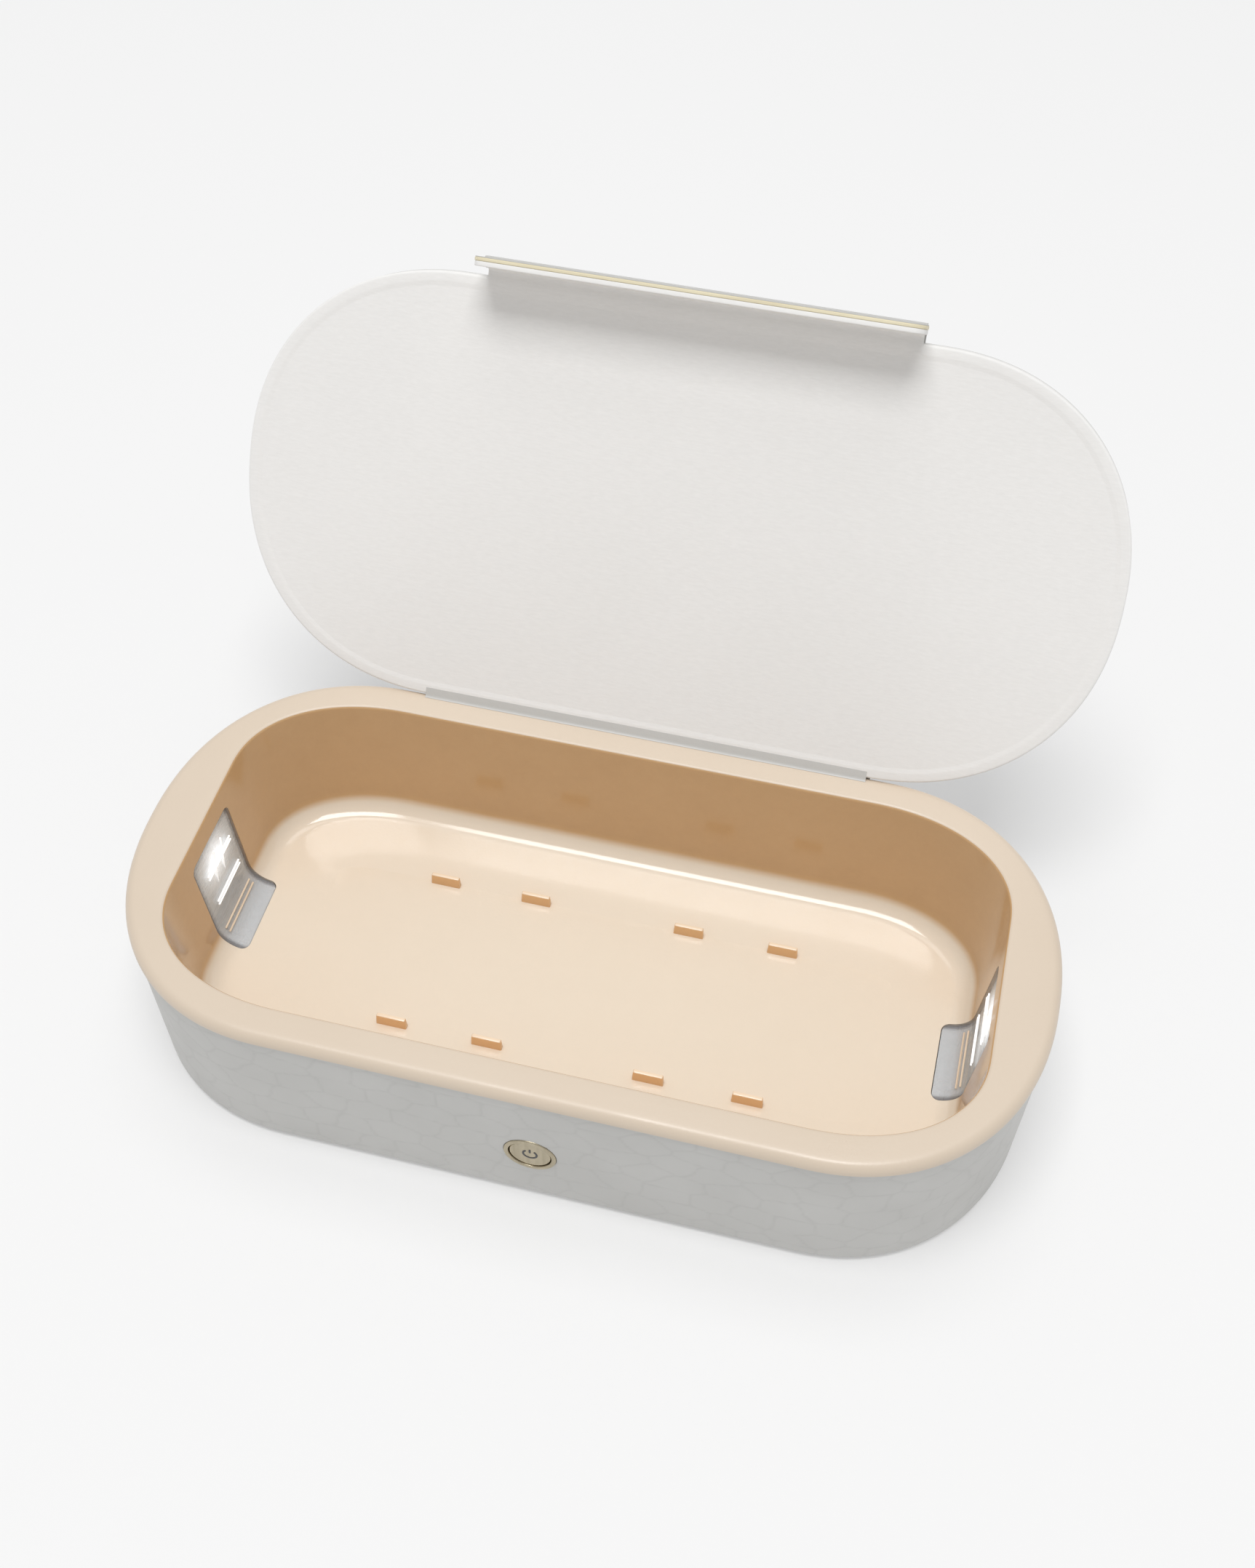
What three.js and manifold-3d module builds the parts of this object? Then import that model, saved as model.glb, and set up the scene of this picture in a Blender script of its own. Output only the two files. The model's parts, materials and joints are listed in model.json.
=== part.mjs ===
// Toothbrush sanitizer case: a leather-wrapped box with a glossy inner tray, a lamp window
// at each end, a push button in the front wall and a padded lid on a leather hinge.
//
// Millimetres, +Z up. X runs along the case and -Y is the front. The origin is the middle
// of the non-slip pad, on the surface that the case rests on. The lid is drawn closed in a
// group of its own, which then stands it open.

import Module from 'manifold-3d';
import * as THREE from 'three';
import { mergeVertices } from 'three/addons/utils/BufferGeometryUtils.js';

const manifold = await Module();
manifold.setup();

// ---- driving dimensions ----

const GAP = 0.3;                  // clearance between two pieces that touch

const BODY_HALF_LENGTH = 120;
const BODY_HALF_WIDTH = 59;
const BODY_HEIGHT = 51;           // top of the rim above the resting surface
const BODY_CORNER_LENGTH = 53;    // how far the round end reaches along X
const CORNER_POWER = 2.18;        // 2 is an ellipse, more is squarer
const BODY_TAPER = 0.9;           // how much each side draws in from rim to base

const RIM_THICKNESS = 3.4;
const RIM_EDGE_RADIUS = 2.6;

const OPENING_HALF_LENGTH = 105;
const OPENING_HALF_WIDTH = 49.7;
const OPENING_CORNER_LENGTH = 40;
const OPENING_CORNER_WIDTH = 29.2;
const OPENING_EDGE_RADIUS = 1.4;
const FLOOR_HEIGHT = 10.5;        // top of the tray floor
const TRAY_WALL = 1.6;
const FLOOR_BAND = 24;            // width of the sloping band round the flat floor

const LEATHER_INSET = 0.6;
const LEATHER_THICKNESS = 0.8;
const LEATHER_BOTTOM = 0.9;
const TURN_UNDER = 9;             // how far the leather is folded in under the case
const SHELL_WALL = 1.6;
const SHELL_BOTTOM = 2;
const SHELL_LEDGE_HEIGHT = 1.6;

const COVER_BOTTOM = 0.9;
const COVER_TOP = 2.9;
const PAD_HALF_LENGTH = 68;
const PAD_HALF_WIDTH = 22;
const PAD_THICKNESS = 0.6;
const SCREW_X = 80;
const SCREW_Y = 30;

const RIB_LENGTH = 8;
const RIB_THICKNESS = 1.2;
const RIB_HEIGHT = 3.6;
const RIB_X = [22, 48.5];         // distances from the middle, on both sides
const RIB_Y = 24;

const WINDOW_HALF_WIDTH = 11.8;
const WINDOW_TOP = 44;
const WINDOW_TOE = 10.5;          // how far the window runs in over the floor band
const LAMP_X = 106.3;             // inner end of the lamp unit behind the window
const LAMP_DEPTH = 3.2;
const LAMP_LOW = 22;
const LAMP_HIGH = 42;
const LAMP_HALF_WIDTH = 12.8;
const LAMP_SCREW_Y = 17;
const LAMP_SCREW_Z = 32;
const LED_SPACING = 6.5;
const BOARD_THICKNESS = 1.2;

const BUTTON_HEIGHT = 22;
const BUTTON_RADIUS = 5.4;
const BEZEL_RADIUS = 6.8;
const BUTTON_TRAVEL = 0.6;
const PORT_HEIGHT = 8.3;
const PORT_HALF_LENGTH = 4.5;
const PORT_HALF_HEIGHT = 1.6;

const LID_HALF_LENGTH = 118;
const LID_HALF_DEPTH = 57.2;
const LID_CORNER_LENGTH = 57;
const LID_THICKNESS = 3.7;
const LID_EDGE_GAP = 0.4;         // from the hinge line to the lid's back edge
const LID_MARGIN = 5;             // turned-in leather round the lining
const LID_SKIN = 0.6;
const LID_OPEN_ANGLE = 121;       // from closed to fully open
const HINGE_Y = 57;
const HINGE_Z = BODY_HEIGHT + GAP;

const FLAP_HALF_LENGTH = 57;
const FLAP_DEPTH = 16;
const FLAP_THICKNESS = 2.4;
const FLAP_SKIN = 0.4;
const FLAP_CORNER = 4;
const CREASE_DISTANCE = 116.9;    // from the hinge line to the flap's crease
const FLAP_BEND_ANGLE = 85;       // 0 is flat with the lid, 90 hangs square to it
const MAGNET_X = 40;
const MAGNET_DISTANCE = 10;       // from the crease to the magnets' middle

// Head radius, head height, shank radius and length of each kind of screw.
const BASE_SCREW = [2.5, 0.7, 0.9, 5.4];
const LAMP_SCREW = [2, 0.6, 0.8, 4];
const BOARD_SCREW = [1.8, 0.8, 0.8, 2.6];

const CONTROL_HALF_LENGTH = 30;
const CONTROL_LOW = BUTTON_HEIGHT - 4;
const CONTROL_HIGH = BUTTON_HEIGHT + 13;
const CONTROL_SCREW_X = 26;
const CONTROL_SCREW_Z = BUTTON_HEIGHT + 8;
const TACT_HALF_SIZE = 2.6;
const POWER_HALF_LENGTH = 14;
const POWER_Y = [33, 54];         // front and back edges of the power board
const CELL_HALF_LENGTH = 30;
const CELL_Y = [-20, 14];
const CELL_TOP = 7.2;
const CELL_PAD_MARGIN = 6;        // how far the foam pad stays inside the cell's outline
const CELL_PAD_TOP = 8.6;
const SENSOR_X = [58, 63];
const SENSOR_Y = [-53.6, -52.2];
const SENSOR_Z = [41, 45];
const LID_MAGNET_X = 60;
const LID_MAGNET_Y = -109;
const LID_MAGNET_RADIUS = 3;
const FLAP_MAGNET_RADIUS = 4;
const PLATE_RADIUS = 4.5;         // steel plates that the flap's magnets hold to
const PLATE_THICKNESS = 1;
const HINGE_HALF_LENGTH = 63;
const HINGE_STRIP_HEIGHT = 13;
const CABLE_RADIUS = 0.7;
const CABLE_INSET = 6.4;          // from the body's outline to the lamp leads
const CABLE_HEIGHT = 27;
const LEAD_HEIGHT = 4.6;          // level of the cell's lead

const ARC_STEPS = 8;              // segments in each quarter of an outline
const ROUND_SIDES = 16;           // sides of small round pieces

// ---- finishes ----

const FINISH = {
  tray: { color: 0xe6d8c6, roughness: 0.2, metalness: 0 },
  shell: { color: 0xdedad2, roughness: 0.5, metalness: 0 },
  leather: { color: 0xbab8b4, roughness: 0.5, metalness: 0 },
  lining: { color: 0xe4e3df, roughness: 0.7, metalness: 0 },
  board: { color: 0x9a8a70, roughness: 0.9, metalness: 0 },
  rubber: { color: 0xb8b4ac, roughness: 0.8, metalness: 0 },
  champagne: { color: 0xafa58c, roughness: 0.3, metalness: 0.4 },
  window: { color: 0xd8dce0, roughness: 0.1, metalness: 0 },
  mirror: { color: 0xd0d0d0, roughness: 0.1, metalness: 1 },
  steel: { color: 0xa8a8a8, roughness: 0.35, metalness: 1 },
  circuit: { color: 0x2f6f45, roughness: 0.5, metalness: 0 },
  lamp: { color: 0xf4f4e8, roughness: 0.4, metalness: 0 },
  battery: { color: 0x6f7f8f, roughness: 0.4, metalness: 0.3 },
  foam: { color: 0x35383c, roughness: 0.95, metalness: 0 },
  cable: { color: 0xd8d4cc, roughness: 0.5, metalness: 0 },
};

function addPiece(group, name, geometry, finish) {
  const mesh = new THREE.Mesh(geometry, new THREE.MeshStandardMaterial(FINISH[finish]));
  mesh.name = name;
  group.add(mesh);
  return mesh;
}

// ---- outlines and lofted solids ----

// A rectangle with superelliptic corners, counter-clockwise from the +X side.
function outline(halfLength, halfWidth, cornerLength, cornerWidth) {
  const centreX = halfLength - cornerLength;
  const centreY = halfWidth - cornerWidth;
  const points = [];
  for (let quarter = 0; quarter < 4; quarter += 1) {
    for (let step = 0; step <= ARC_STEPS; step += 1) {
      const turn = (quarter + step / ARC_STEPS) * Math.PI / 2;
      const signX = quarter === 0 || quarter === 3 ? 1 : -1;
      const signY = quarter < 2 ? 1 : -1;
      const across = Math.abs(Math.cos(turn)) ** (2 / CORNER_POWER);
      const along = Math.abs(Math.sin(turn)) ** (2 / CORNER_POWER);
      points.push([signX * (centreX + cornerLength * across), signY * (centreY + cornerWidth * along)]);
    }
  }
  return points;
}

// The body's outline, drawn in by a distance. A short straight side keeps its points apart.
function bodyOutline(inset) {
  const straight = 0.5;
  const halfWidth = BODY_HALF_WIDTH - inset;
  return outline(BODY_HALF_LENGTH - inset, halfWidth, BODY_CORNER_LENGTH - inset, halfWidth - straight);
}

function openingOutline(inset) {
  return outline(
    OPENING_HALF_LENGTH - inset,
    OPENING_HALF_WIDTH - inset,
    OPENING_CORNER_LENGTH - inset,
    OPENING_CORNER_WIDTH - inset,
  );
}

function lidOutline(inset) {
  const straight = 0.5;
  const halfDepth = LID_HALF_DEPTH - inset;
  const points = outline(
    LID_HALF_LENGTH - inset,
    halfDepth,
    LID_CORNER_LENGTH - inset,
    halfDepth - straight,
  );
  return points.map(([x, y]) => [x, y - LID_EDGE_GAP - LID_HALF_DEPTH]);
}

// Taper of the outer walls at a height, added to an inset.
function tapered(inset, z) {
  return inset + BODY_TAPER * (1 - z / BODY_HEIGHT);
}

function bodyRing(inset, z) {
  return { points: bodyOutline(tapered(inset, z)), z };
}

function openingRing(inset, z) {
  return { points: openingOutline(inset), z };
}

// Skins a stack of rings. Left open at both ends it is capped; closed, it is a hoop.
function loft(rings, isHoop = false) {
  const count = rings[0].points.length;
  const positions = [];
  const corner = (ring, index) => {
    const [x, y] = rings[ring].points[index % count];
    return [x, y, rings[ring].z];
  };
  const bands = isHoop ? rings.length : rings.length - 1;
  for (let band = 0; band < bands; band += 1) {
    const next = (band + 1) % rings.length;
    for (let index = 0; index < count; index += 1) {
      const a = corner(band, index);
      const b = corner(band, index + 1);
      const c = corner(next, index + 1);
      const d = corner(next, index);
      positions.push(...a, ...b, ...c, ...a, ...c, ...d);
    }
  }
  if (!isHoop) {
    addCap(positions, rings[0], true);
    addCap(positions, rings[rings.length - 1], false);
  }
  const geometry = new THREE.BufferGeometry();
  geometry.setAttribute('position', new THREE.Float32BufferAttribute(positions, 3));
  return withNormals(geometry);
}

function addCap(positions, ring, facesDown) {
  const count = ring.points.length;
  const middleX = ring.points.reduce((sum, point) => sum + point[0], 0) / count;
  const middleY = ring.points.reduce((sum, point) => sum + point[1], 0) / count;
  for (let index = 0; index < count; index += 1) {
    const a = ring.points[index];
    const b = ring.points[(index + 1) % count];
    const [first, second] = facesDown ? [b, a] : [a, b];
    positions.push(middleX, middleY, ring.z, ...first, ring.z, ...second, ring.z);
  }
}

function withNormals(geometry) {
  const merged = mergeVertices(geometry, 1e-4);
  merged.computeVertexNormals();
  return merged;
}

// ---- solids from three.js shapes ----

function box(sizeX, sizeY, sizeZ, x, y, z) {
  return new THREE.BoxGeometry(sizeX, sizeY, sizeZ).translate(x, y, z);
}

// A box given by its lowest and highest corners.
function block(low, high) {
  const size = high.map((value, axis) => value - low[axis]);
  const middle = high.map((value, axis) => (value + low[axis]) / 2);
  return box(...size, ...middle);
}

// A cylinder along Z from a low to a high level.
function post(radius, low, high, x = 0, y = 0) {
  const geometry = new THREE.CylinderGeometry(radius, radius, high - low, ROUND_SIDES);
  return geometry.rotateX(Math.PI / 2).translate(x, y, (low + high) / 2);
}

// A solid of revolution about Z; its profile runs up from the axis back to the axis.
function turned(profile, sides = ROUND_SIDES) {
  const points = profile.map(([radius, z]) => new THREE.Vector2(radius, z));
  return new THREE.LatheGeometry(points, sides).rotateX(Math.PI / 2);
}

// A rounded rectangle centred on the origin, as a three.js shape.
function roundedRectangle(halfLength, halfHeight, radius) {
  const shape = new THREE.Shape();
  const inX = halfLength - radius;
  const inY = halfHeight - radius;
  shape.absarc(inX, -inY, radius, -Math.PI / 2, 0);
  shape.absarc(inX, inY, radius, 0, Math.PI / 2);
  shape.absarc(-inX, inY, radius, Math.PI / 2, Math.PI);
  shape.absarc(-inX, -inY, radius, Math.PI, 1.5 * Math.PI);
  shape.closePath();
  return shape;
}

// A shape in the XY plane raised from a low to a high level.
function plate(shape, low, high, curveSegments = 6) {
  const settings = { depth: high - low, bevelEnabled: false, curveSegments };
  return new THREE.ExtrudeGeometry(shape, settings).translate(0, 0, low);
}

// The same shape drawn in the XZ plane, with its thickness along Y.
function frontPlate(shape, lowY, highY, z, curveSegments = 6) {
  return plate(shape, -highY, -lowY, curveSegments).rotateX(Math.PI / 2).translate(0, 0, z);
}

// ---- booleans ----

function toManifold(geometry) {
  const bare = geometry.index ? geometry.toNonIndexed() : geometry.clone();
  bare.deleteAttribute('normal');
  bare.deleteAttribute('uv');
  const merged = mergeVertices(bare, 1e-4);
  const mesh = new manifold.Mesh({
    numProp: 3,
    vertProperties: new Float32Array(merged.attributes.position.array),
    triVerts: new Uint32Array(merged.index.array),
  });
  return new manifold.Manifold(mesh);
}

function fromManifold(solid) {
  const mesh = solid.getMesh();
  const geometry = new THREE.BufferGeometry();
  geometry.setAttribute('position', new THREE.BufferAttribute(new Float32Array(mesh.vertProperties), 3));
  geometry.setIndex(new THREE.BufferAttribute(new Uint32Array(mesh.triVerts), 1));
  geometry.computeVertexNormals();
  return geometry;
}

function combine(base, added, cuts) {
  let solid = toManifold(base);
  for (const geometry of added) {
    solid = solid.add(toManifold(geometry));
  }
  for (const geometry of cuts) {
    solid = solid.subtract(toManifold(geometry));
  }
  return fromManifold(solid);
}

// ---- inner tray ----

// Inner face of the tray: inset from the opening's outline, and height.
const TRAY_PROFILE = [
  [-OPENING_EDGE_RADIUS, BODY_HEIGHT],
  [-0.4, BODY_HEIGHT - 0.4],
  [0, BODY_HEIGHT - OPENING_EDGE_RADIUS],
  [1.6, 20],
  [2.6, 16.8],
  [5.4, 14.6],
  [12, 12.5],
  [19, 10.9],
  [FLOOR_BAND, FLOOR_HEIGHT],
];

// The profile moved outwards by a distance along its own normals.
function offsetProfile(profile, distance) {
  return profile.map((point, index) => {
    const before = profile[Math.max(index - 1, 0)];
    const after = profile[Math.min(index + 1, profile.length - 1)];
    const runX = after[0] - before[0];
    const runZ = after[1] - before[1];
    const length = Math.hypot(runX, runZ);
    return [point[0] + distance * runZ / length, point[1] - distance * runX / length];
  });
}

function trayWallRings() {
  const under = offsetProfile(TRAY_PROFILE.slice(2), TRAY_WALL);
  return under.reverse().map(([inset, z]) => openingRing(inset, z));
}

// The rim: flat below, rounded on its outer edge, flat on top.
function rimRings() {
  const underside = BODY_HEIGHT - RIM_THICKNESS;
  const rings = [openingRing(-TRAY_WALL, underside)];
  rings.push({ points: bodyOutline(0.3), z: underside });
  rings.push({ points: bodyOutline(0), z: underside + 0.3 });
  const edgeSteps = 4;
  for (let step = 0; step <= edgeSteps; step += 1) {
    const turn = step / edgeSteps * Math.PI / 2;
    const inset = RIM_EDGE_RADIUS * (1 - Math.cos(turn));
    const z = BODY_HEIGHT - RIM_EDGE_RADIUS * (1 - Math.sin(turn));
    rings.push({ points: bodyOutline(inset), z });
  }
  return rings;
}

function ribs() {
  const solids = [];
  const bottom = FLOOR_HEIGHT - 0.8;
  for (const side of [-1, 1]) {
    for (const distance of RIB_X) {
      for (const y of [-RIB_Y, RIB_Y]) {
        const x = side * distance;
        const low = [x - RIB_LENGTH / 2, y - RIB_THICKNESS / 2, bottom];
        const high = [x + RIB_LENGTH / 2, y + RIB_THICKNESS / 2, FLOOR_HEIGHT + RIB_HEIGHT];
        solids.push(block(low, high));
      }
    }
  }
  return solids;
}

// Cross-section of the window: the tray wall's own thickness between the window's ends.
function windowSection(toe, top) {
  const wall = TRAY_PROFILE.slice(3);
  const draft = wall[0][0] * (top - wall[0][1]) / (BODY_HEIGHT - OPENING_EDGE_RADIUS - wall[0][1]);
  const face = [[wall[0][0] - draft, top]];
  for (const point of wall) {
    if (point[0] < toe) {
      face.push(point);
    }
  }
  const last = wall.find((point) => point[0] >= toe);
  const before = face[face.length - 1];
  const share = (toe - before[0]) / (last[0] - before[0]);
  face.push([toe, before[1] + share * (last[1] - before[1])]);
  const back = offsetProfile(face, TRAY_WALL).reverse();
  const shape = new THREE.Shape();
  face.concat(back).forEach(([inset, z], index) => {
    const x = OPENING_HALF_LENGTH - inset;
    if (index === 0) {
      shape.moveTo(x, z);
    } else {
      shape.lineTo(x, z);
    }
  });
  shape.closePath();
  return shape;
}

function windowSolid(side, halfWidth, toe, top) {
  const settings = { depth: 2 * halfWidth, bevelEnabled: false };
  const flat = new THREE.ExtrudeGeometry(windowSection(toe, top), settings);
  flat.rotateX(Math.PI / 2).translate(0, halfWidth, 0);
  return side > 0 ? flat : flat.rotateZ(Math.PI);
}

// A cut a little larger than the window, and through both faces of the wall.
function windowCut(side) {
  const clear = WINDOW_HALF_WIDTH + GAP;
  const wall = windowSolid(side, clear, WINDOW_TOE + GAP, WINDOW_TOP + GAP);
  const slide = 1.2;
  const lean = 0.6;               // sideways share of the slide along the sloping band
  const cuts = [wall];
  for (const shift of [-slide, slide]) {
    cuts.push(wall.clone().translate(side * shift * lean, 0, -shift));
    cuts.push(wall.clone().translate(side * shift, 0, 0));
  }
  return cuts;
}

function screwBosses() {
  const added = [];
  const cuts = [];
  for (const x of [-SCREW_X, SCREW_X]) {
    for (const y of [-SCREW_Y, SCREW_Y]) {
      added.push(post(3, COVER_TOP + GAP, FLOOR_HEIGHT - 0.6, x, y));
      cuts.push(post(1.2, COVER_TOP - 1, FLOOR_HEIGHT - TRAY_WALL, x, y));
    }
  }
  return { added, cuts };
}

// Posts on the end walls that carry the lamp boards.
function lampPosts() {
  const added = [];
  const cuts = [];
  const end = LAMP_X + LAMP_DEPTH;
  for (const side of [-1, 1]) {
    for (const y of [-LAMP_SCREW_Y, LAMP_SCREW_Y]) {
      const low = OPENING_HALF_LENGTH + 0.2;
      const middle = side * (low + end) / 2;
      added.push(along(post(2.2, 0, end - low), 'x').translate(middle, y, LAMP_SCREW_Z));
      const hole = along(post(1.1, 0, end - low - 1), 'x');
      cuts.push(hole.translate(side * (end - (end - low - 1) / 2), y, LAMP_SCREW_Z));
    }
  }
  return { added, cuts };
}

// Lays a solid that runs along Z along X or Y instead, centred on the origin.
function along(geometry, axis) {
  geometry.center();
  return axis === 'x' ? geometry.rotateY(Math.PI / 2) : geometry.rotateX(Math.PI / 2);
}

function innerTray() {
  const inside = TRAY_PROFILE.map(([inset, z]) => openingRing(inset, z));
  const basin = loft([...trayWallRings(), ...rimRings(), ...inside]);
  const bosses = screwBosses();
  const posts = lampPosts();
  const added = [...ribs(), ...bosses.added, ...posts.added];
  const cuts = [...bosses.cuts, ...posts.cuts, ...windowCut(-1), ...windowCut(1)];
  return combine(basin, added, cuts);
}

// ---- outer walls ----

const SHELL_INSET = LEATHER_INSET + LEATHER_THICKNESS + GAP;
const WALL_TOP = BODY_HEIGHT - RIM_THICKNESS - GAP;
const SHELL_INNER = SHELL_INSET + SHELL_WALL;

function frontHole(radius, y) {
  return along(post(radius, 0, 12), 'y').translate(0, y, BUTTON_HEIGHT);
}

function portCut(clearance) {
  const radius = PORT_HALF_HEIGHT + clearance;
  const shape = roundedRectangle(PORT_HALF_LENGTH + clearance, radius, radius - 0.05);
  return frontPlate(shape, BODY_HALF_WIDTH - 14, BODY_HALF_WIDTH + 2, PORT_HEIGHT);
}

function outerShell() {
  const ledgeTop = SHELL_BOTTOM + SHELL_LEDGE_HEIGHT;
  const hoop = loft([
    bodyRing(SHELL_INSET, SHELL_BOTTOM),
    bodyRing(SHELL_INSET, WALL_TOP),
    bodyRing(SHELL_INNER, WALL_TOP),
    bodyRing(SHELL_INNER, ledgeTop),
    bodyRing(TURN_UNDER, ledgeTop),
    bodyRing(TURN_UNDER, SHELL_BOTTOM),
  ], true);
  return combine(hoop, [], [frontHole(BUTTON_RADIUS + GAP, -BODY_HALF_WIDTH), portCut(1.2)]);
}

function leatherWrap() {
  const inner = LEATHER_INSET + LEATHER_THICKNESS;
  const foldTop = LEATHER_BOTTOM + LEATHER_THICKNESS;
  const hoop = loft([
    bodyRing(LEATHER_INSET + 1.1, LEATHER_BOTTOM),
    bodyRing(LEATHER_INSET + 0.3, LEATHER_BOTTOM + 0.8),
    bodyRing(LEATHER_INSET, LEATHER_BOTTOM + 2),
    bodyRing(LEATHER_INSET, WALL_TOP),
    bodyRing(inner, WALL_TOP),
    bodyRing(inner, foldTop),
    bodyRing(TURN_UNDER, foldTop),
    bodyRing(TURN_UNDER, LEATHER_BOTTOM),
  ], true);
  return combine(hoop, [], [frontHole(BEZEL_RADIUS + GAP, -BODY_HALF_WIDTH), portCut(2.7)]);
}

// ---- base ----

function baseCover() {
  const inset = TURN_UNDER + GAP;
  const cover = loft([bodyRing(inset, COVER_BOTTOM), bodyRing(inset, COVER_TOP)]);
  const cuts = [];
  for (const x of [-SCREW_X, SCREW_X]) {
    for (const y of [-SCREW_Y, SCREW_Y]) {
      cuts.push(post(1.5, 0, COVER_TOP + 1, x, y));
      cuts.push(post(2.9, 0, COVER_BOTTOM + 1.1, x, y));
    }
  }
  return combine(cover, [], cuts);
}

function addBase(group) {
  addPiece(group, 'base_cover', baseCover(), 'shell');
  const pad = roundedRectangle(PAD_HALF_LENGTH, PAD_HALF_WIDTH, 12);
  addPiece(group, 'base_pad', plate(pad, 0, PAD_THICKNESS), 'rubber');
  let number = 1;
  for (const x of [-SCREW_X, SCREW_X]) {
    for (const y of [-SCREW_Y, SCREW_Y]) {
      const screw = screwSolid(...BASE_SCREW).translate(x, y, COVER_BOTTOM + 0.1);
      addPiece(group, `base_screw_${number}`, screw, 'steel');
      number += 1;
    }
  }
}

// A pan-head screw, head down, with its shank along +Z.
function screwSolid(headRadius, headHeight, shankRadius, length) {
  return turned([
    [0, 0],
    [headRadius * 0.8, 0],
    [headRadius, headHeight * 0.5],
    [headRadius, headHeight],
    [shankRadius, headHeight],
    [shankRadius, length - shankRadius],
    [0, length],
  ], 12);
}

// ---- lamps behind the end windows ----

function reflectorFrame() {
  const height = LAMP_HIGH - LAMP_LOW;
  const outer = roundedRectangle(height / 2, LAMP_HALF_WIDTH, 2);
  const inner = roundedRectangle(height / 2 - 1.2, LAMP_HALF_WIDTH - 1.2, 1.2);
  outer.holes.push(inner);
  const frame = plate(outer, 0, LAMP_DEPTH - 0.6, 3);
  return frame.rotateY(Math.PI / 2).translate(LAMP_X + GAP, 0, (LAMP_LOW + LAMP_HIGH) / 2);
}

function mirrored(geometry, side) {
  return side > 0 ? geometry : geometry.rotateZ(Math.PI);
}

function lampBoard() {
  const start = LAMP_X + LAMP_DEPTH + GAP;
  const low = [start, -LAMP_SCREW_Y - 2.5, LAMP_LOW];
  const high = [start + BOARD_THICKNESS, LAMP_SCREW_Y + 2.5, LAMP_HIGH];
  const cuts = [];
  for (const y of [-LAMP_SCREW_Y, LAMP_SCREW_Y]) {
    cuts.push(along(post(1.3, 0, 4), 'x').translate(start + BOARD_THICKNESS / 2, y, LAMP_SCREW_Z));
  }
  return combine(block(low, high), [], cuts);
}

function addLamp(group, side, label) {
  const boardStart = LAMP_X + LAMP_DEPTH + GAP;
  const window = windowSolid(side, WINDOW_HALF_WIDTH, WINDOW_TOE, WINDOW_TOP);
  addPiece(group, `lamp_window_${label}`, window, 'window');
  addPiece(group, `lamp_reflector_${label}`, mirrored(reflectorFrame(), side), 'mirror');
  addPiece(group, `lamp_board_${label}`, mirrored(lampBoard(), side), 'circuit');
  for (let index = 0; index < 3; index += 1) {
    const y = (index - 1) * LED_SPACING;
    const chip = box(1.2, 3.5, 3.5, boardStart - GAP - 0.6, y, LAMP_SCREW_Z);
    addPiece(group, `uv_led_${label}_${index + 1}`, mirrored(chip, side), 'lamp');
  }
  [-LAMP_SCREW_Y, LAMP_SCREW_Y].forEach((y, index) => {
    const screw = screwSolid(...LAMP_SCREW).rotateY(-Math.PI / 2);
    screw.translate(boardStart + BOARD_THICKNESS + 0.7, y, LAMP_SCREW_Z);
    addPiece(group, `lamp_screw_${label}_${index + 1}`, mirrored(screw, side), 'steel');
  });
}

// ---- button and electronics ----

const BUTTON_FACE = -(BODY_HALF_WIDTH - tapered(LEATHER_INSET, BUTTON_HEIGHT)) - 0.4;
const BOARD_FRONT = -52;
const TACT_DEPTH = 1.2;
const TACT_FRONT = BOARD_FRONT - GAP - TACT_DEPTH;
const FLANGE_THICKNESS = 0.6;

function buttonBezel() {
  const back = -(BODY_HALF_WIDTH - tapered(SHELL_INSET, BUTTON_HEIGHT)) - GAP;
  const inner = BUTTON_RADIUS + GAP;
  const depth = back - BUTTON_FACE;
  const profile = [
    [inner, 0],
    [BEZEL_RADIUS, 0],
    [BEZEL_RADIUS, depth - 0.3],
    [BEZEL_RADIUS - 0.3, depth],
    [inner, depth],
    [inner, 0],
  ];
  return turned(profile, 32).rotateX(Math.PI / 2).translate(0, back, BUTTON_HEIGHT);
}

// Cap, retaining flange and plunger in one moulding, pressed along +Y.
function buttonCap() {
  const shellInside = -(BODY_HALF_WIDTH - tapered(SHELL_INNER, BUTTON_HEIGHT));
  const flangeFront = shellInside + GAP;
  const tip = TACT_FRONT - 0.1 - BUTTON_TRAVEL;
  const face = BUTTON_FACE + 0.2;
  const profile = [
    [0, 0],
    [1.4, 0],
    [1.4, tip - flangeFront - FLANGE_THICKNESS],
    [BUTTON_RADIUS + 1, tip - flangeFront - FLANGE_THICKNESS],
    [BUTTON_RADIUS + 1, tip - flangeFront],
    [BUTTON_RADIUS, tip - flangeFront],
    [BUTTON_RADIUS, tip - face - 0.3],
    [BUTTON_RADIUS - 0.5, tip - face],
    [0, tip - face],
  ];
  return turned(profile, 32).rotateX(Math.PI / 2).translate(0, tip, BUTTON_HEIGHT);
}

function addButton(group) {
  addPiece(group, 'button_bezel', buttonBezel(), 'champagne');
  addPiece(group, 'button_cap', buttonCap(), 'champagne');
}

function controlBoard() {
  const low = [-CONTROL_HALF_LENGTH, BOARD_FRONT, CONTROL_LOW];
  const high = [CONTROL_HALF_LENGTH, BOARD_FRONT + BOARD_THICKNESS, CONTROL_HIGH];
  const cuts = [-CONTROL_SCREW_X, CONTROL_SCREW_X].map((x) => {
    return along(post(1.2, 0, 4), 'y').translate(x, BOARD_FRONT, CONTROL_SCREW_Z);
  });
  return combine(block(low, high), [], cuts);
}

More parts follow.
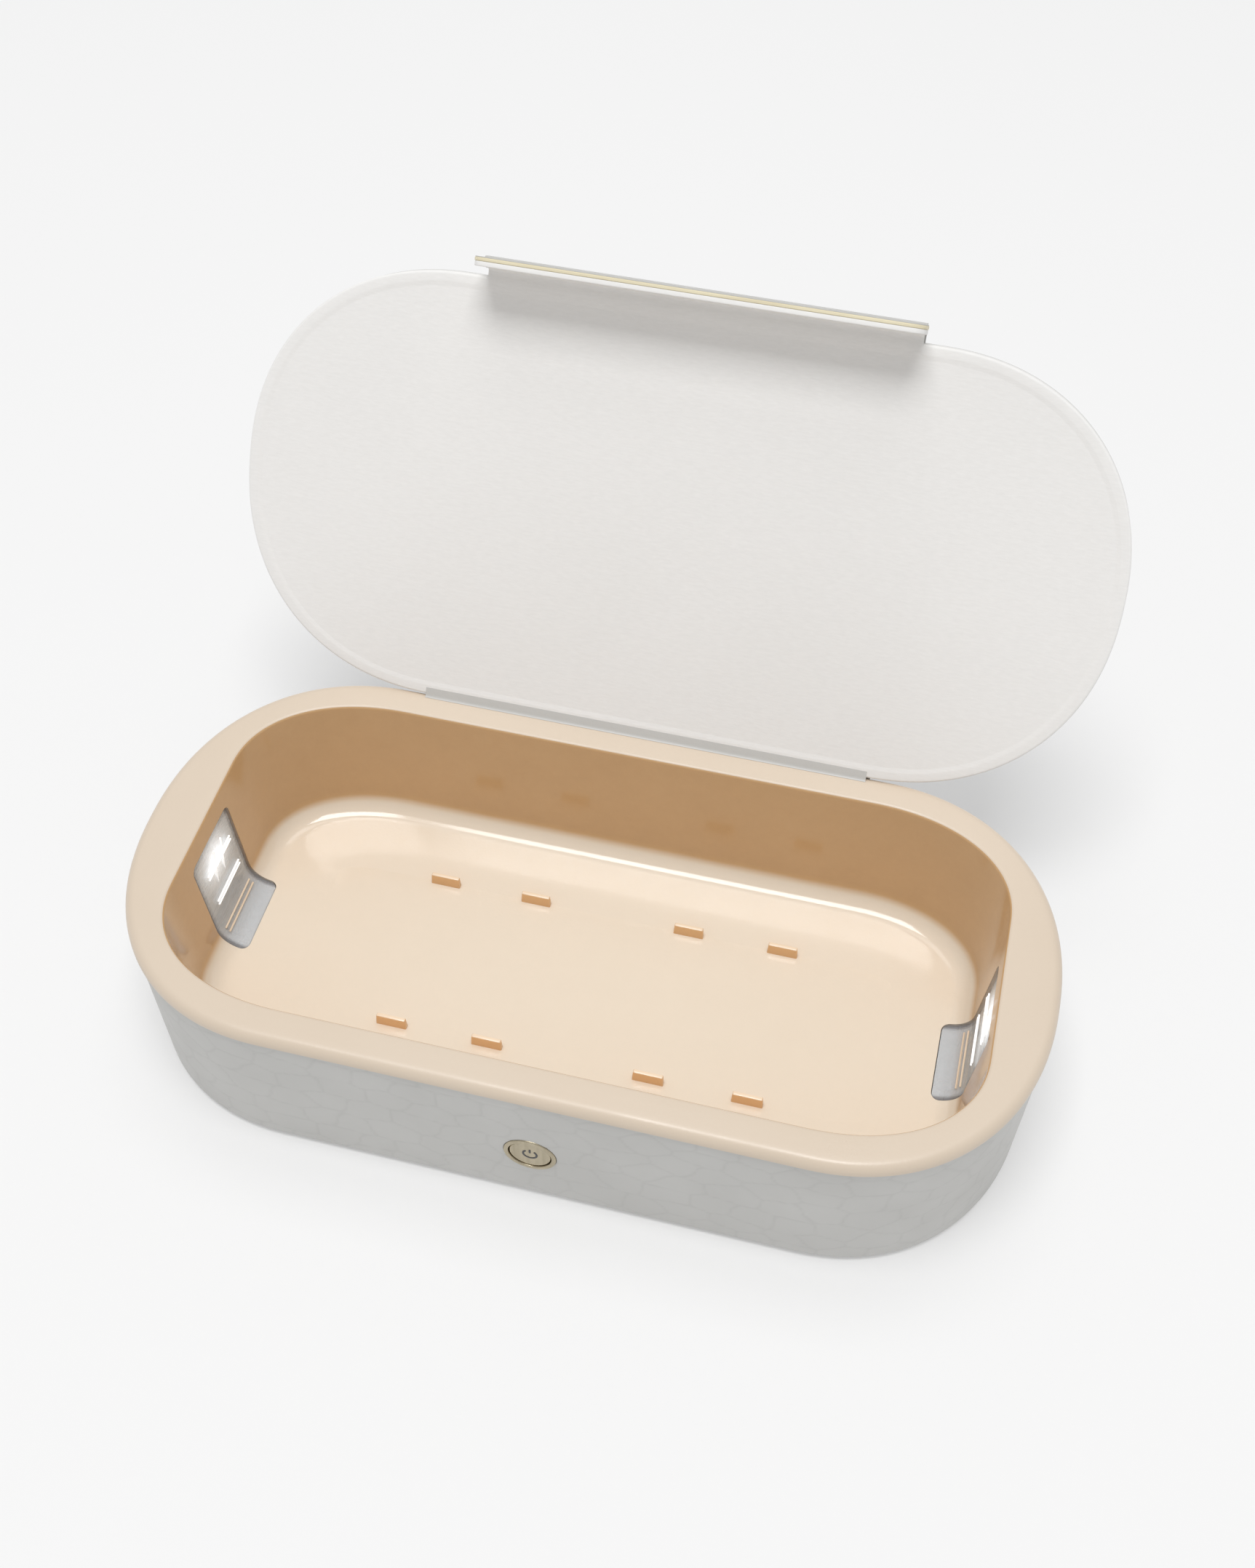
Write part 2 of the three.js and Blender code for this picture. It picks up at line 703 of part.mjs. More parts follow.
function addElectronics(group) {
  addPiece(group, 'control_board', controlBoard(), 'circuit');
  const tactLow = [-TACT_HALF_SIZE, TACT_FRONT, BUTTON_HEIGHT - TACT_HALF_SIZE];
  const tactHigh = [TACT_HALF_SIZE, BOARD_FRONT - GAP, BUTTON_HEIGHT + TACT_HALF_SIZE];
  addPiece(group, 'tact_switch', block(tactLow, tactHigh), 'foam');
  [-CONTROL_SCREW_X, CONTROL_SCREW_X].forEach((x, index) => {
    const screw = screwSolid(...BOARD_SCREW).rotateX(-Math.PI / 2);
    screw.translate(x, BOARD_FRONT - 1.1, CONTROL_SCREW_Z);
    addPiece(group, `board_screw_${index + 1}`, screw, 'steel');
  });
  const sensorLow = [SENSOR_X[0], SENSOR_Y[0], SENSOR_Z[0]];
  const sensorHigh = [SENSOR_X[1], SENSOR_Y[1], SENSOR_Z[1]];
  addPiece(group, 'lid_sensor', block(sensorLow, sensorHigh), 'foam');

  const boardTop = PORT_HEIGHT - PORT_HALF_HEIGHT - GAP;
  const boardLow = [-POWER_HALF_LENGTH, POWER_Y[0], boardTop - BOARD_THICKNESS];
  addPiece(group, 'power_board', block(boardLow, [POWER_HALF_LENGTH, POWER_Y[1], boardTop]), 'circuit');
  addPiece(group, 'usb_socket', usbSocket(), 'steel');
  addPiece(group, 'port_frame', portFrame(), 'shell');

  const cellLow = [-CELL_HALF_LENGTH, CELL_Y[0], COVER_TOP + GAP];
  addPiece(group, 'battery', block(cellLow, [CELL_HALF_LENGTH, CELL_Y[1], CELL_TOP]), 'battery');
  const padHalfLength = CELL_HALF_LENGTH - CELL_PAD_MARGIN;
  const padLow = [-padHalfLength, CELL_Y[0] + CELL_PAD_MARGIN, CELL_TOP + GAP];
  const padHigh = [padHalfLength, CELL_Y[1] - CELL_PAD_MARGIN, CELL_PAD_TOP];
  addPiece(group, 'battery_pad', block(padLow, padHigh), 'foam');
}

// A flat steel tube, closed at its inner end.
function usbSocket() {
  const outer = roundedRectangle(PORT_HALF_LENGTH, PORT_HALF_HEIGHT, PORT_HALF_HEIGHT - 0.05);
  const wall = 0.4;
  const innerRadius = PORT_HALF_HEIGHT - wall;
  const inner = roundedRectangle(PORT_HALF_LENGTH - wall, innerRadius, innerRadius - 0.05);
  const mouth = BODY_HALF_WIDTH - 2;
  const body = frontPlate(outer, mouth - 7, mouth, PORT_HEIGHT, 4);
  const hollow = frontPlate(inner, mouth - 6, mouth + 1, PORT_HEIGHT, 4);
  return combine(body, [], [hollow]);
}

// Trim ring round the charging port, let into the leather.
function portFrame() {
  const face = BODY_HALF_WIDTH - tapered(LEATHER_INSET, PORT_HEIGHT) + 0.2;
  const back = BODY_HALF_WIDTH - tapered(SHELL_INSET, PORT_HEIGHT) + GAP;
  const outerRadius = PORT_HALF_HEIGHT + 2.3;
  const outer = roundedRectangle(PORT_HALF_LENGTH + 2.3, outerRadius, outerRadius - 0.05);
  const innerRadius = PORT_HALF_HEIGHT + 0.5;
  outer.holes.push(roundedRectangle(PORT_HALF_LENGTH + 0.5, innerRadius, innerRadius - 0.05));
  return frontPlate(outer, back, face, PORT_HEIGHT, 4);
}

// ---- wires ----

function tube(points, radius, steps) {
  const curve = new THREE.CatmullRomCurve3(points.map((point) => new THREE.Vector3(...point)));
  const section = new THREE.Shape();
  section.absarc(0, 0, radius, 0, 2 * Math.PI);
  const settings = { steps, bevelEnabled: false, extrudePath: curve, curveSegments: 4 };
  return new THREE.ExtrudeGeometry(section, settings);
}

// A lead from the control board round the inside of the shell to a lamp board.
function lampCable(side) {
  const quarter = bodyOutline(CABLE_INSET).slice(3 * (ARC_STEPS + 1));
  const route = quarter.map(([x, y]) => [side * x, y, CABLE_HEIGHT]);
  const start = [side * (CONTROL_HALF_LENGTH + 1.5), -(BODY_HALF_WIDTH - CABLE_INSET), CABLE_HEIGHT];
  const bend = route.slice(0, ARC_STEPS - 1);
  return tube([start, ...bend], CABLE_RADIUS, 36);
}

function addWires(group) {
  addPiece(group, 'lamp_cable_left', lampCable(-1), 'cable');
  addPiece(group, 'lamp_cable_right', lampCable(1), 'cable');
  const start = [0, CELL_Y[1] + 0.6, LEAD_HEIGHT];
  const end = [0, POWER_Y[0] - 0.4, LEAD_HEIGHT];
  const lead = tube([start, [-1, 20, LEAD_HEIGHT], [1, 27, LEAD_HEIGHT], end], CABLE_RADIUS, 12);
  addPiece(group, 'battery_lead', lead, 'cable');
}

// ---- closure plates and leather hinge on the body ----

function addClosure(group) {
  const z = HINGE_Z + 1 - MAGNET_DISTANCE;
  const inside = -(BODY_HALF_WIDTH - tapered(SHELL_INNER, z)) + GAP;
  [-MAGNET_X, MAGNET_X].forEach((x, index) => {
    const disc = along(post(PLATE_RADIUS, 0, PLATE_THICKNESS), 'y');
    disc.translate(x, inside + PLATE_THICKNESS / 2, z);
    addPiece(group, `strike_plate_${index + 1}`, disc, 'steel');
  });
}

// The half of the leather hinge that is bonded to the back wall.
function hingeStrip() {
  const face = BODY_HALF_WIDTH - LEATHER_INSET + GAP;
  const halfHeight = HINGE_STRIP_HEIGHT / 2;
  const strip = roundedRectangle(HINGE_HALF_LENGTH, halfHeight, 2);
  return frontPlate(strip, face, face + LID_SKIN, WALL_TOP - halfHeight, 3);
}

// ---- lid, drawn closed with the hinge line on the group's X axis ----

function lidRing(inset, z) {
  return { points: lidOutline(inset), z };
}

// Outer skin, folded round the edge and turned in as a margin on the inside.
function lidLeather() {
  const top = LID_THICKNESS;
  const inner = LID_SKIN + 0.2;
  return loft([
    lidRing(inner, top - LID_SKIN),
    lidRing(inner, LID_SKIN),
    lidRing(LID_MARGIN, LID_SKIN),
    lidRing(LID_MARGIN, 0),
    lidRing(0.7, 0),
    lidRing(0, 0.7),
    lidRing(0, top - 0.8),
    lidRing(0.8, top),
  ]);
}

function addLid(lid) {
  const boardLow = LID_SKIN + GAP;
  const boardHigh = LID_THICKNESS - LID_SKIN - GAP;
  const boardInset = LID_SKIN + 0.2 + GAP;
  const board = loft([lidRing(boardInset, boardLow), lidRing(boardInset, boardHigh)]);
  const pocket = post(LID_MAGNET_RADIUS + GAP, 0, LID_THICKNESS, LID_MAGNET_X, LID_MAGNET_Y);
  addPiece(lid, 'lid_board', combine(board, [], [pocket]), 'board');
  addPiece(lid, 'lid_leather', lidLeather(), 'leather');
  const lining = loft([lidRing(LID_MARGIN + GAP, 0), lidRing(LID_MARGIN + GAP, LID_SKIN)]);
  addPiece(lid, 'lid_lining', lining, 'lining');
  const magnet = post(LID_MAGNET_RADIUS, boardLow, boardHigh, LID_MAGNET_X, LID_MAGNET_Y);
  addPiece(lid, 'lid_magnet', magnet, 'steel');
}

// ---- closing flap, drawn flat with its crease on the group's X axis ----

function flapOutline(inset) {
  const near = 0.6;
  const halfDepth = (FLAP_DEPTH - near) / 2;
  const shape = roundedRectangle(FLAP_HALF_LENGTH - inset, halfDepth - inset, FLAP_CORNER - inset);
  return { shape, y: -near - halfDepth };
}

function flapLayer(inset, low, high) {
  const { shape, y } = flapOutline(inset);
  return plate(shape, low, high, 4).translate(0, y, 0);
}

function addFlap(flap) {
  const boardLow = FLAP_SKIN + GAP;
  const boardHigh = FLAP_THICKNESS - FLAP_SKIN - GAP;
  const pockets = [-MAGNET_X, MAGNET_X].map((x) => {
    return post(FLAP_MAGNET_RADIUS + GAP, boardLow - 1, boardHigh + 1, x, -MAGNET_DISTANCE);
  });
  addPiece(flap, 'flap_lining', flapLayer(0, 0, FLAP_SKIN), 'lining');
  addPiece(flap, 'flap_board', combine(flapLayer(0.2, boardLow, boardHigh), [], pockets), 'board');
  addPiece(flap, 'flap_leather', flapLayer(0, FLAP_THICKNESS - FLAP_SKIN, FLAP_THICKNESS), 'leather');
  [-MAGNET_X, MAGNET_X].forEach((x, index) => {
    const disc = post(FLAP_MAGNET_RADIUS, boardLow, boardHigh, x, -MAGNET_DISTANCE);
    addPiece(flap, `flap_magnet_${index + 1}`, disc, 'steel');
  });
}

// ---- assembly ----

const group = new THREE.Group();
addPiece(group, 'inner_tray', innerTray(), 'tray');
addPiece(group, 'outer_shell', outerShell(), 'shell');
addPiece(group, 'leather_wrap', leatherWrap(), 'leather');
addPiece(group, 'hinge_strip', hingeStrip(), 'leather');
addBase(group);
addLamp(group, -1, 'left');
addLamp(group, 1, 'right');
addButton(group);
addElectronics(group);
addWires(group);
addClosure(group);

const lid = new THREE.Group();
lid.position.set(0, HINGE_Y, HINGE_Z);
lid.rotation.x = THREE.MathUtils.degToRad(-LID_OPEN_ANGLE);
group.add(lid);
addLid(lid);

const flap = new THREE.Group();
flap.position.set(0, -CREASE_DISTANCE, LID_THICKNESS - FLAP_THICKNESS);
flap.rotation.x = THREE.MathUtils.degToRad(FLAP_BEND_ANGLE);
lid.add(flap);
addFlap(flap);

export default group;
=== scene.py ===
"""Looks of the toothbrush sanitizer case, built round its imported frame.

Lengths are in millimetres until a mesh or a material is made, which scales them to metres.
X runs along the case, -Y is the front and +Z is up. The lid and the flap are shaped in their
own frames, closed and flat, and then set at the angles that they rest at.
"""
import json
import math

import bmesh
import bpy
import numpy as np
from mathutils import Matrix, Vector


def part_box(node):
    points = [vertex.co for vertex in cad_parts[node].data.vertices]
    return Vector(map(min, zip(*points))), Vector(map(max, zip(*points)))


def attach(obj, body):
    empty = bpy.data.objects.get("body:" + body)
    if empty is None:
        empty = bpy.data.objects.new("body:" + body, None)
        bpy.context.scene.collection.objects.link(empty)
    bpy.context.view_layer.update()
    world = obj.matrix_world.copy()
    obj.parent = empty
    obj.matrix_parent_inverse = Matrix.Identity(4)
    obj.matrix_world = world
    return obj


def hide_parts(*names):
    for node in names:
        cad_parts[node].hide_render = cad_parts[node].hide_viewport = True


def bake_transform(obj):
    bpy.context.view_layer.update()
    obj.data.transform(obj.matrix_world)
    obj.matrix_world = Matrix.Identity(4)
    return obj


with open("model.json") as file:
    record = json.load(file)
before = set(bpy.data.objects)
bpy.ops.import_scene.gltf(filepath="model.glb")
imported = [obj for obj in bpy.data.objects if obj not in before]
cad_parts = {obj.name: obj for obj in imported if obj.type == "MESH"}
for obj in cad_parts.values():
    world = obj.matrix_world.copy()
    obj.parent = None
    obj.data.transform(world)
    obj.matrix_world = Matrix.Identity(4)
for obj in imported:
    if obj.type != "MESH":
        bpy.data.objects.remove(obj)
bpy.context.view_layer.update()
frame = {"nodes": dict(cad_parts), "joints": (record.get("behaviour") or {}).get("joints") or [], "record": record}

MM = 0.001


def box_mm(node):
    """Lowest and highest corners of a CAD node, in millimetres."""
    low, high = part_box(node)
    return np.array(low) / MM, np.array(high) / MM


def joint(name):
    return next(found for found in frame["joints"] if found["name"] == name)


# ---- driving dimensions: from the frame where it has them, otherwise as the CAD has them ----

# The body's outline has superelliptic corners, and its walls draw in towards the base.
BODY_HALF_LENGTH, BODY_HALF_WIDTH, BODY_HEIGHT = box_mm("inner_tray")[1]
BODY_CORNER_LENGTH = 53
END_STRAIGHT = 0.5
CORNER_POWER = 2.18
BODY_TAPER = 0.9
RIM_THICKNESS = 3.4
RIM_EDGE_RADIUS = 2.6
RIM_FINISH_DEPTH = 0.35

# Insets are measured inwards from the opening's outline at the rim. The floor's tone gives way
# to the walls' deeper tone, which is painted shade, between the two heights given for it below.
OPENING_HALF_LENGTH = 105
OPENING_HALF_WIDTH = 49.7
OPENING_CORNER_LENGTH = 40
OPENING_CORNER_WIDTH = 29.2
LIP_RADIUS = 1.1
WALL_FOOT_INSET = 3.4
WALL_FOOT_HEIGHT = 12.1
WALL_FOOT_RADIUS = 7
FLOOR_HEIGHT = 10.5
FLOOR_BAND = 25.5
FLOOR_RADIUS = 6
TRAY_WALL = 1.6
PAINTED_SHADE_HEIGHTS = (14.2, 16.8)

RIB_LENGTH = 8
RIB_THICKNESS = 1.2
RIB_HEIGHT = 3.6
RIB_FOOT = 1.2
RIB_CORNER = 0.25
RIB_X = (22, 48.5)
RIB_Y = 24

# A window's darker border starts, and is full, at these distances inwards from its edges.
WINDOW_HALF_WIDTH = 11.8
WINDOW_TOP = box_mm("lamp_window_right")[1][2]
WINDOW_TOE = 10.5
WINDOW_CORNER = 2.2
WINDOW_THICKNESS = 0.7
WINDOW_GAP = 0.12
SIDE_BORDER = (1.5, 1.1)
TOP_BORDER = (1.6, 1.2)
BEFORE_WALL_X = OPENING_HALF_LENGTH - 6
BEHIND_WALL_X = OPENING_HALF_LENGTH + 5
# Height of the lamp's middle, and the reach and strength of its light painted as a glow on each reflector.
LAMP_HEIGHT = 35
LAMP_GLOW_RADIUS = 7
LAMP_STRENGTH = 1.25

# Each window has two pairs of bars across it, two upright bars and two bars at its foot.
BAR_WIDTH = 0.5
CROSS_BAR_HEIGHTS = (34.5, 24)
CROSS_BAR_SHIFT = 0.65
CROSS_BAR_SPAN = (-6.5, 8)
UPRIGHT_WIDTH = 0.35
UPRIGHT_Y = (-2.2, 2.4)
UPRIGHT_SPAN = (25, 41.5)
FOOT_BAR_HEIGHTS = (14, 15.3)
FOOT_BAR_SPAN = (-8.5, 8.5)

WRAP_LOW, WRAP_HIGH = box_mm("leather_wrap")
LEATHER_BOTTOM = WRAP_LOW[2]
LEATHER_TOP = WRAP_HIGH[2]
LEATHER_INSET = 0.6
LEATHER_THICKNESS = 0.8
TURN_UNDER = 9

# Size and irregularity of the leather's scales, and how finely the wrap's mesh is divided.
SCALE_LENGTH = 11.5
SCALE_HEIGHT = 7.6
SCALE_ROWS = 64
LID_COLUMNS = 64
SCALE_SHIFT = 0.33
SCALE_SEED = 11
CREASE_DEPTH = 0.08
CREASE_WIDTH = 0.055
SHEET_STEP = 0.62
SHEET_STEPS = {"arc_steps": 140, "side_steps": 210}

BUTTON_HEIGHT = 22
BUTTON_SIDES = 96
BUTTON_RADIUS = 5.4
BEZEL_RADIUS = 6.8
BUTTON_FRONT = box_mm("button_cap")[0][1]
BEZEL_FRONT = box_mm("button_bezel")[0][1]
HOLE_GAP = 0.1
HOLE_REACH = 6

HINGE = np.array(joint("lid_hinge")["pos_m"]) / MM
HINGE_HALF_LENGTH = box_mm("hinge_strip")[1][0]
LID_OPEN = math.radians(joint("lid_hinge")["range_deg"][1])
LID_HALF_LENGTH = box_mm("lid_leather")[1][0]
LID_HALF_DEPTH = 57.2
LID_CORNER_LENGTH = 57
LID_EDGE_GAP = 0.4
LID_FAR_EDGE = -2 * LID_HALF_DEPTH - LID_EDGE_GAP
LID_THICKNESS = 3.7
LID_MARGIN = 3.8
LID_COVER = 0.8
LINING_THICKNESS = 0.7

CREASE_DISTANCE = 116.9
FLAP_BEND = math.radians(-joint("flap_crease")["range_deg"][0])
FLAP_HALF_LENGTH = 57
FLAP_DEPTH = 16
FLAP_THICKNESS = 2.4
FLAP_CORNER = 4
FLAP_NEAR = 0.6
FLAP_COVER = 0.25
FLAP_EDGE = 0.85

# Edges that turn more than this stay sharp, faces thinner than this go after a cut, and the
# noises mostly lie between these values.
SHARP_ANGLE = 35
SLIVER = 0.004
NOISE_LOW = 0.3
NOISE_HIGH = 0.7

# Colours, light first. The tray's walls are painted a deeper tone than its floor, as painted shade.
CREAM = (0.71, 0.60, 0.482)
CREAM_WARM = (0.69, 0.58, 0.462)
PEACH_WALL_PAINTED_SHADE = ((0.64, 0.415, 0.215), (0.59, 0.375, 0.19))
PEACH_FLOOR = ((0.825, 0.725, 0.595), (0.80, 0.70, 0.57))
# A rib's deep orange is painted shade, and its pale top a painted highlight; the foot bars share the pale peach.
PEACH_RIB_PAINTED_SHADE = ((0.82, 0.50, 0.24), (0.80, 0.48, 0.225))
PALE_PEACH_AND_RIB_HIGHLIGHT = ((0.90, 0.74, 0.56), (0.89, 0.72, 0.54))
LEATHER_PALE = (0.60, 0.595, 0.575)
LEATHER_DEEP = (0.575, 0.57, 0.55)
LINING_PALE = (0.895, 0.885, 0.868)
LINING_DEEP = (0.84, 0.83, 0.812)
PAINT_PALE = (0.84, 0.77, 0.56)
PAINT_DEEP = (0.74, 0.66, 0.46)
WINDOW_CLEAR = (0.78, 0.80, 0.82)
REFLECTOR_BRIGHT = (0.66, 0.68, 0.69)
WINDOW_BORDER = (0.36, 0.36, 0.37)

# Studio light, in metres and watts: the key stands a little in front, the other behind.
WORLD_LIGHT = 0.47
FLOOR_LIFT = 0.235
FLOOR_HALF_SIZE = 6000
SOFTBOXES = {
    "softbox_key": {"place": (0, -0.45, 3.0), "size": (1.6, 1.0), "power": 48},
    "softbox_back": {"place": (-0.1, 0.8, 3.0), "size": (1.8, 1.0), "power": 11},
}

CAMERA_AZIMUTH = 13.7
CAMERA_ELEVATION = 50.7
CAMERA_ROLL = 0.45
CAMERA_DISTANCE = 555.2
CAMERA_AIM = (-9.6, 80.5, 0)
CAMERA_LENS = 41.87


# ---- outlines ----

def quarter_arcs(steps):
    """Turn of each point, and the quarter it belongs to, for a ring of four corners."""
    for quarter in range(4):
        for step in range(steps + 1):
            yield quarter, step / steps


def outline(half_length, half_width, corner_length, corner_width, arc_steps=40, side_steps=24):
    """A rectangle with superelliptic corners, counter-clockwise, its long sides divided."""
    centre_x = half_length - corner_length
    centre_y = half_width - corner_width
    points = []
    for quarter, share in quarter_arcs(arc_steps):
        turn = (quarter + share) * math.pi / 2
        sign_x = 1 if quarter in (0, 3) else -1
        sign_y = 1 if quarter < 2 else -1
        across = abs(math.cos(turn)) ** (2 / CORNER_POWER)
        along = abs(math.sin(turn)) ** (2 / CORNER_POWER)
        x = sign_x * (centre_x + corner_length * across)
        y = sign_y * (centre_y + corner_width * along)
        points.append((x, y))
        if quarter in (0, 2) and share == 1:
            for side in range(1, side_steps):
                points.append((x * (1 - 2 * side / side_steps), y))
    return np.array(points)


def body_outline(inset, **steps):
    half_width = BODY_HALF_WIDTH - inset
    return outline(BODY_HALF_LENGTH - inset, half_width, BODY_CORNER_LENGTH - inset,
                   half_width - END_STRAIGHT, **steps)


def opening_outline(inset):
    return outline(OPENING_HALF_LENGTH - inset, OPENING_HALF_WIDTH - inset,
                   OPENING_CORNER_LENGTH - inset, OPENING_CORNER_WIDTH - inset)


def lid_outline(inset):
    """In the lid's own frame: the hinge is the origin, and the lid reaches from it towards -Y."""
    half_depth = LID_HALF_DEPTH - inset
    points = outline(LID_HALF_LENGTH - inset, half_depth, LID_CORNER_LENGTH - inset,
                     half_depth - END_STRAIGHT)
    return points - np.array([0, LID_EDGE_GAP + LID_HALF_DEPTH])


def rounded_rectangle(half_length, half_height, radius, steps=8):
    """A plain rounded rectangle about the origin, counter-clockwise."""
    points = []
    for quarter, share in quarter_arcs(steps):
        turn = (quarter + share) * math.pi / 2
        sign_x = 1 if quarter in (0, 3) else -1
        sign_y = 1 if quarter < 2 else -1
        points.append((sign_x * (half_length - radius) + radius * math.cos(turn),
                       sign_y * (half_height - radius) + radius * math.sin(turn)))
    return np.array(points)


def tapered(inset, z):
    """Inset at a height of a body wall, which draws in towards the base."""
    return inset + BODY_TAPER * (1 - z / BODY_HEIGHT)


# ---- profiles ----

def rounded_corner(before, here, after, radius, steps):
    """The arc that turns a corner, or the corner itself where it has no radius or no turn."""
    to_before = before - here
    to_after = after - here
    to_before = to_before / np.linalg.norm(to_before)
    to_after = to_after / np.linalg.norm(to_after)
    half = math.acos(max(-1, min(1, to_before @ to_after))) / 2
    nearly_straight = math.pi / 2 - 1e-3
    if radius <= 0 or half > nearly_straight:
        return [here]
    reach = radius / math.tan(half)
    middle = to_before + to_after
    centre = here + middle / np.linalg.norm(middle) * radius / math.sin(half)
    start = here + to_before * reach - centre
    end = here + to_after * reach - centre
    sweep = math.pi - 2 * half
    points = []
    for step in range(steps + 1):
        share = step / steps
        low = math.sin((1 - share) * sweep) / math.sin(sweep)
        high = math.sin(share * sweep) / math.sin(sweep)
        points.append(centre + start * low + end * high)
    return points


def filleted(corners, steps=6):
    """A profile through corners given as (x, y, radius), each corner turned by an arc."""
    places = [np.array(corner[:2], float) for corner in corners]
    points = [places[0]]
    for index in range(1, len(corners) - 1):
        points += rounded_corner(*places[index - 1:index + 2], corners[index][2], steps)
    return points + [places[-1]]


def divided(points, step):
    """The same profile with no stretch longer than a step."""
    result = [points[0]]
    for before, after in zip(points, points[1:]):
        count = max(1, math.ceil(np.linalg.norm(after - before) / step))
        for index in range(1, count + 1):
            result.append(before + (after - before) * index / count)
    return result


# ---- meshes ----

def smooth(mesh):
    """Smooth shading, with the sharp edges kept."""
    mesh.shade_smooth()
    mesh.set_sharp_from_angle(angle=math.radians(SHARP_ANGLE))


def add_object(name, data):
    added = bpy.data.objects.new(name, data)
    bpy.context.scene.collection.objects.link(added)
    return added


def make_object(name, vertices, faces):
    """A smooth-shaded mesh from millimetres."""
    mesh = bpy.data.meshes.new(name)
    mesh.from_pydata((np.asarray(vertices) * MM).tolist(), [], faces)
    mesh.validate()
    smooth(mesh)
    return add_object(name, mesh)


def turned_over(faces):
    """The same faces, looking the other way."""
    return [tuple(reversed(face)) for face in faces]


def loft(rings, hoop=False):
    """Vertices and faces of a stack of (points, z) rings, capped unless it is a hoop."""
    count = len(rings[0][0])
    vertices = np.concatenate([np.column_stack([points, np.full(count, z)]) for points, z in rings])
    faces = []
    bands = len(rings) if hoop else len(rings) - 1
    for band in range(bands):
        low = band * count
        high = (band + 1) % len(rings) * count
        for index in range(count):
            following = (index + 1) % count
            faces.append((low + index, low + following, high + following, high + index))
    if not hoop:
        faces.append(tuple(reversed(range(count))))
        faces.append(tuple(range(len(vertices) - count, len(vertices))))
    return vertices, faces


def swept_strip(section, half_length, steps):
    """A closed section in the YZ plane carried along X, with flat ends."""
    stations = np.linspace(-half_length, half_length, steps + 1)
    vertices, faces = loft([(section, x) for x in stations])
    return np.roll(vertices, 1, axis=1), faces


def turned_point(radius, z, side, sides):
    turn = 2 * math.pi * side / sides
    return radius * math.cos(turn), radius * math.sin(turn), z


def turned(profile, sides=64):
    """A solid of revolution about Z from a profile of (radius, z), axis to axis."""
    on_axis = 1e-6
    vertices, faces, rings = [], [], []
    for radius, z in profile:
        if radius < on_axis:
            rings.append([len(vertices)])
            vertices.append((0, 0, z))
            continue
        rings.append(list(range(len(vertices), len(vertices) + sides)))
        vertices += [turned_point(radius, z, side, sides) for side in range(sides)]
    for low, high in zip(rings, rings[1:]):
        for side in range(sides):
            after = (side + 1) % sides
            if len(low) == 1:
                faces.append((low[0], high[after], high[side]))
            elif len(high) == 1:
                faces.append((low[side], low[after], high[0]))
            else:
                faces.append((low[side], low[after], high[after], high[side]))
    return np.array(vertices), faces


def turned_hoop(profile, sides):
    """A ring of revolution about Z whose profile closes on itself."""
    count = len(profile)
    vertices = [turned_point(radius, z, side, sides) for side in range(sides) for radius, z in profile]
    faces = []
    for side in range(sides):
        after = (side + 1) % sides
        for index in range(count):
            following = (index + 1) % count
            faces.append((side * count + index, after * count + index,
                          after * count + following, side * count + following))
    return np.array(vertices), faces


def prism(outline_points, low, high):
    return loft([(outline_points, low), (outline_points, high)])


def placed(vertices, rotation, shift):
    return np.asarray(vertices, float) @ np.array(rotation.to_3x3()).T + np.array(shift, float)


FACING_FRONT = Matrix.Rotation(math.radians(90), 4, "X")     # +Z becomes -Y
HALF_TURN = Matrix.Rotation(math.pi, 4, "Z")
LID_TURN = Matrix.Rotation(-LID_OPEN, 4, "X")
FLAP_TURN = Matrix.Rotation(FLAP_BEND, 4, "X")


def on_lid(vertices):
    """From the closed lid's own frame to where the lid rests."""
    return placed(vertices, LID_TURN, HINGE)


def on_flap(vertices):
    """From the flat flap's own frame to where the flap rests."""
    in_lid = placed(vertices, FLAP_TURN, (0, -CREASE_DISTANCE, LID_THICKNESS - FLAP_THICKNESS))
    return on_lid(in_lid)


def without_slivers(mesh):
    """Closes the hair-thin faces that a boolean leaves along its cut."""
    shape = bmesh.new()
    shape.from_mesh(mesh)
    bmesh.ops.dissolve_degenerate(shape, dist=SLIVER * MM, edges=shape.edges)
    shape.to_mesh(mesh)
    shape.free()


def boolean(piece, tool, operation):
    """Applies a cut, union or intersection with a tool, which is then deleted."""
    modifier = piece.modifiers.new("boolean", "BOOLEAN")
    modifier.object = tool
    modifier.operation = operation
    modifier.solver = "EXACT"
    bpy.context.view_layer.update()
    evaluated = piece.evaluated_get(bpy.context.evaluated_depsgraph_get())
    mesh = bpy.data.meshes.new_from_object(evaluated)
    piece.modifiers.clear()
    piece.data = mesh
    without_slivers(mesh)
    smooth(mesh)
    bpy.data.objects.remove(tool)


def finish_piece(piece, body, slot, *nodes, material=None):
    """Gives a piece its body and a material, the one given or its slot's, and hides the CAD nodes that it stands
    for.
    """
    piece.data.materials.clear()
    piece.data.materials.append(material or MATERIALS[slot])
    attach(piece, body)
    if nodes:
        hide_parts(*nodes)


# ---- materials ----

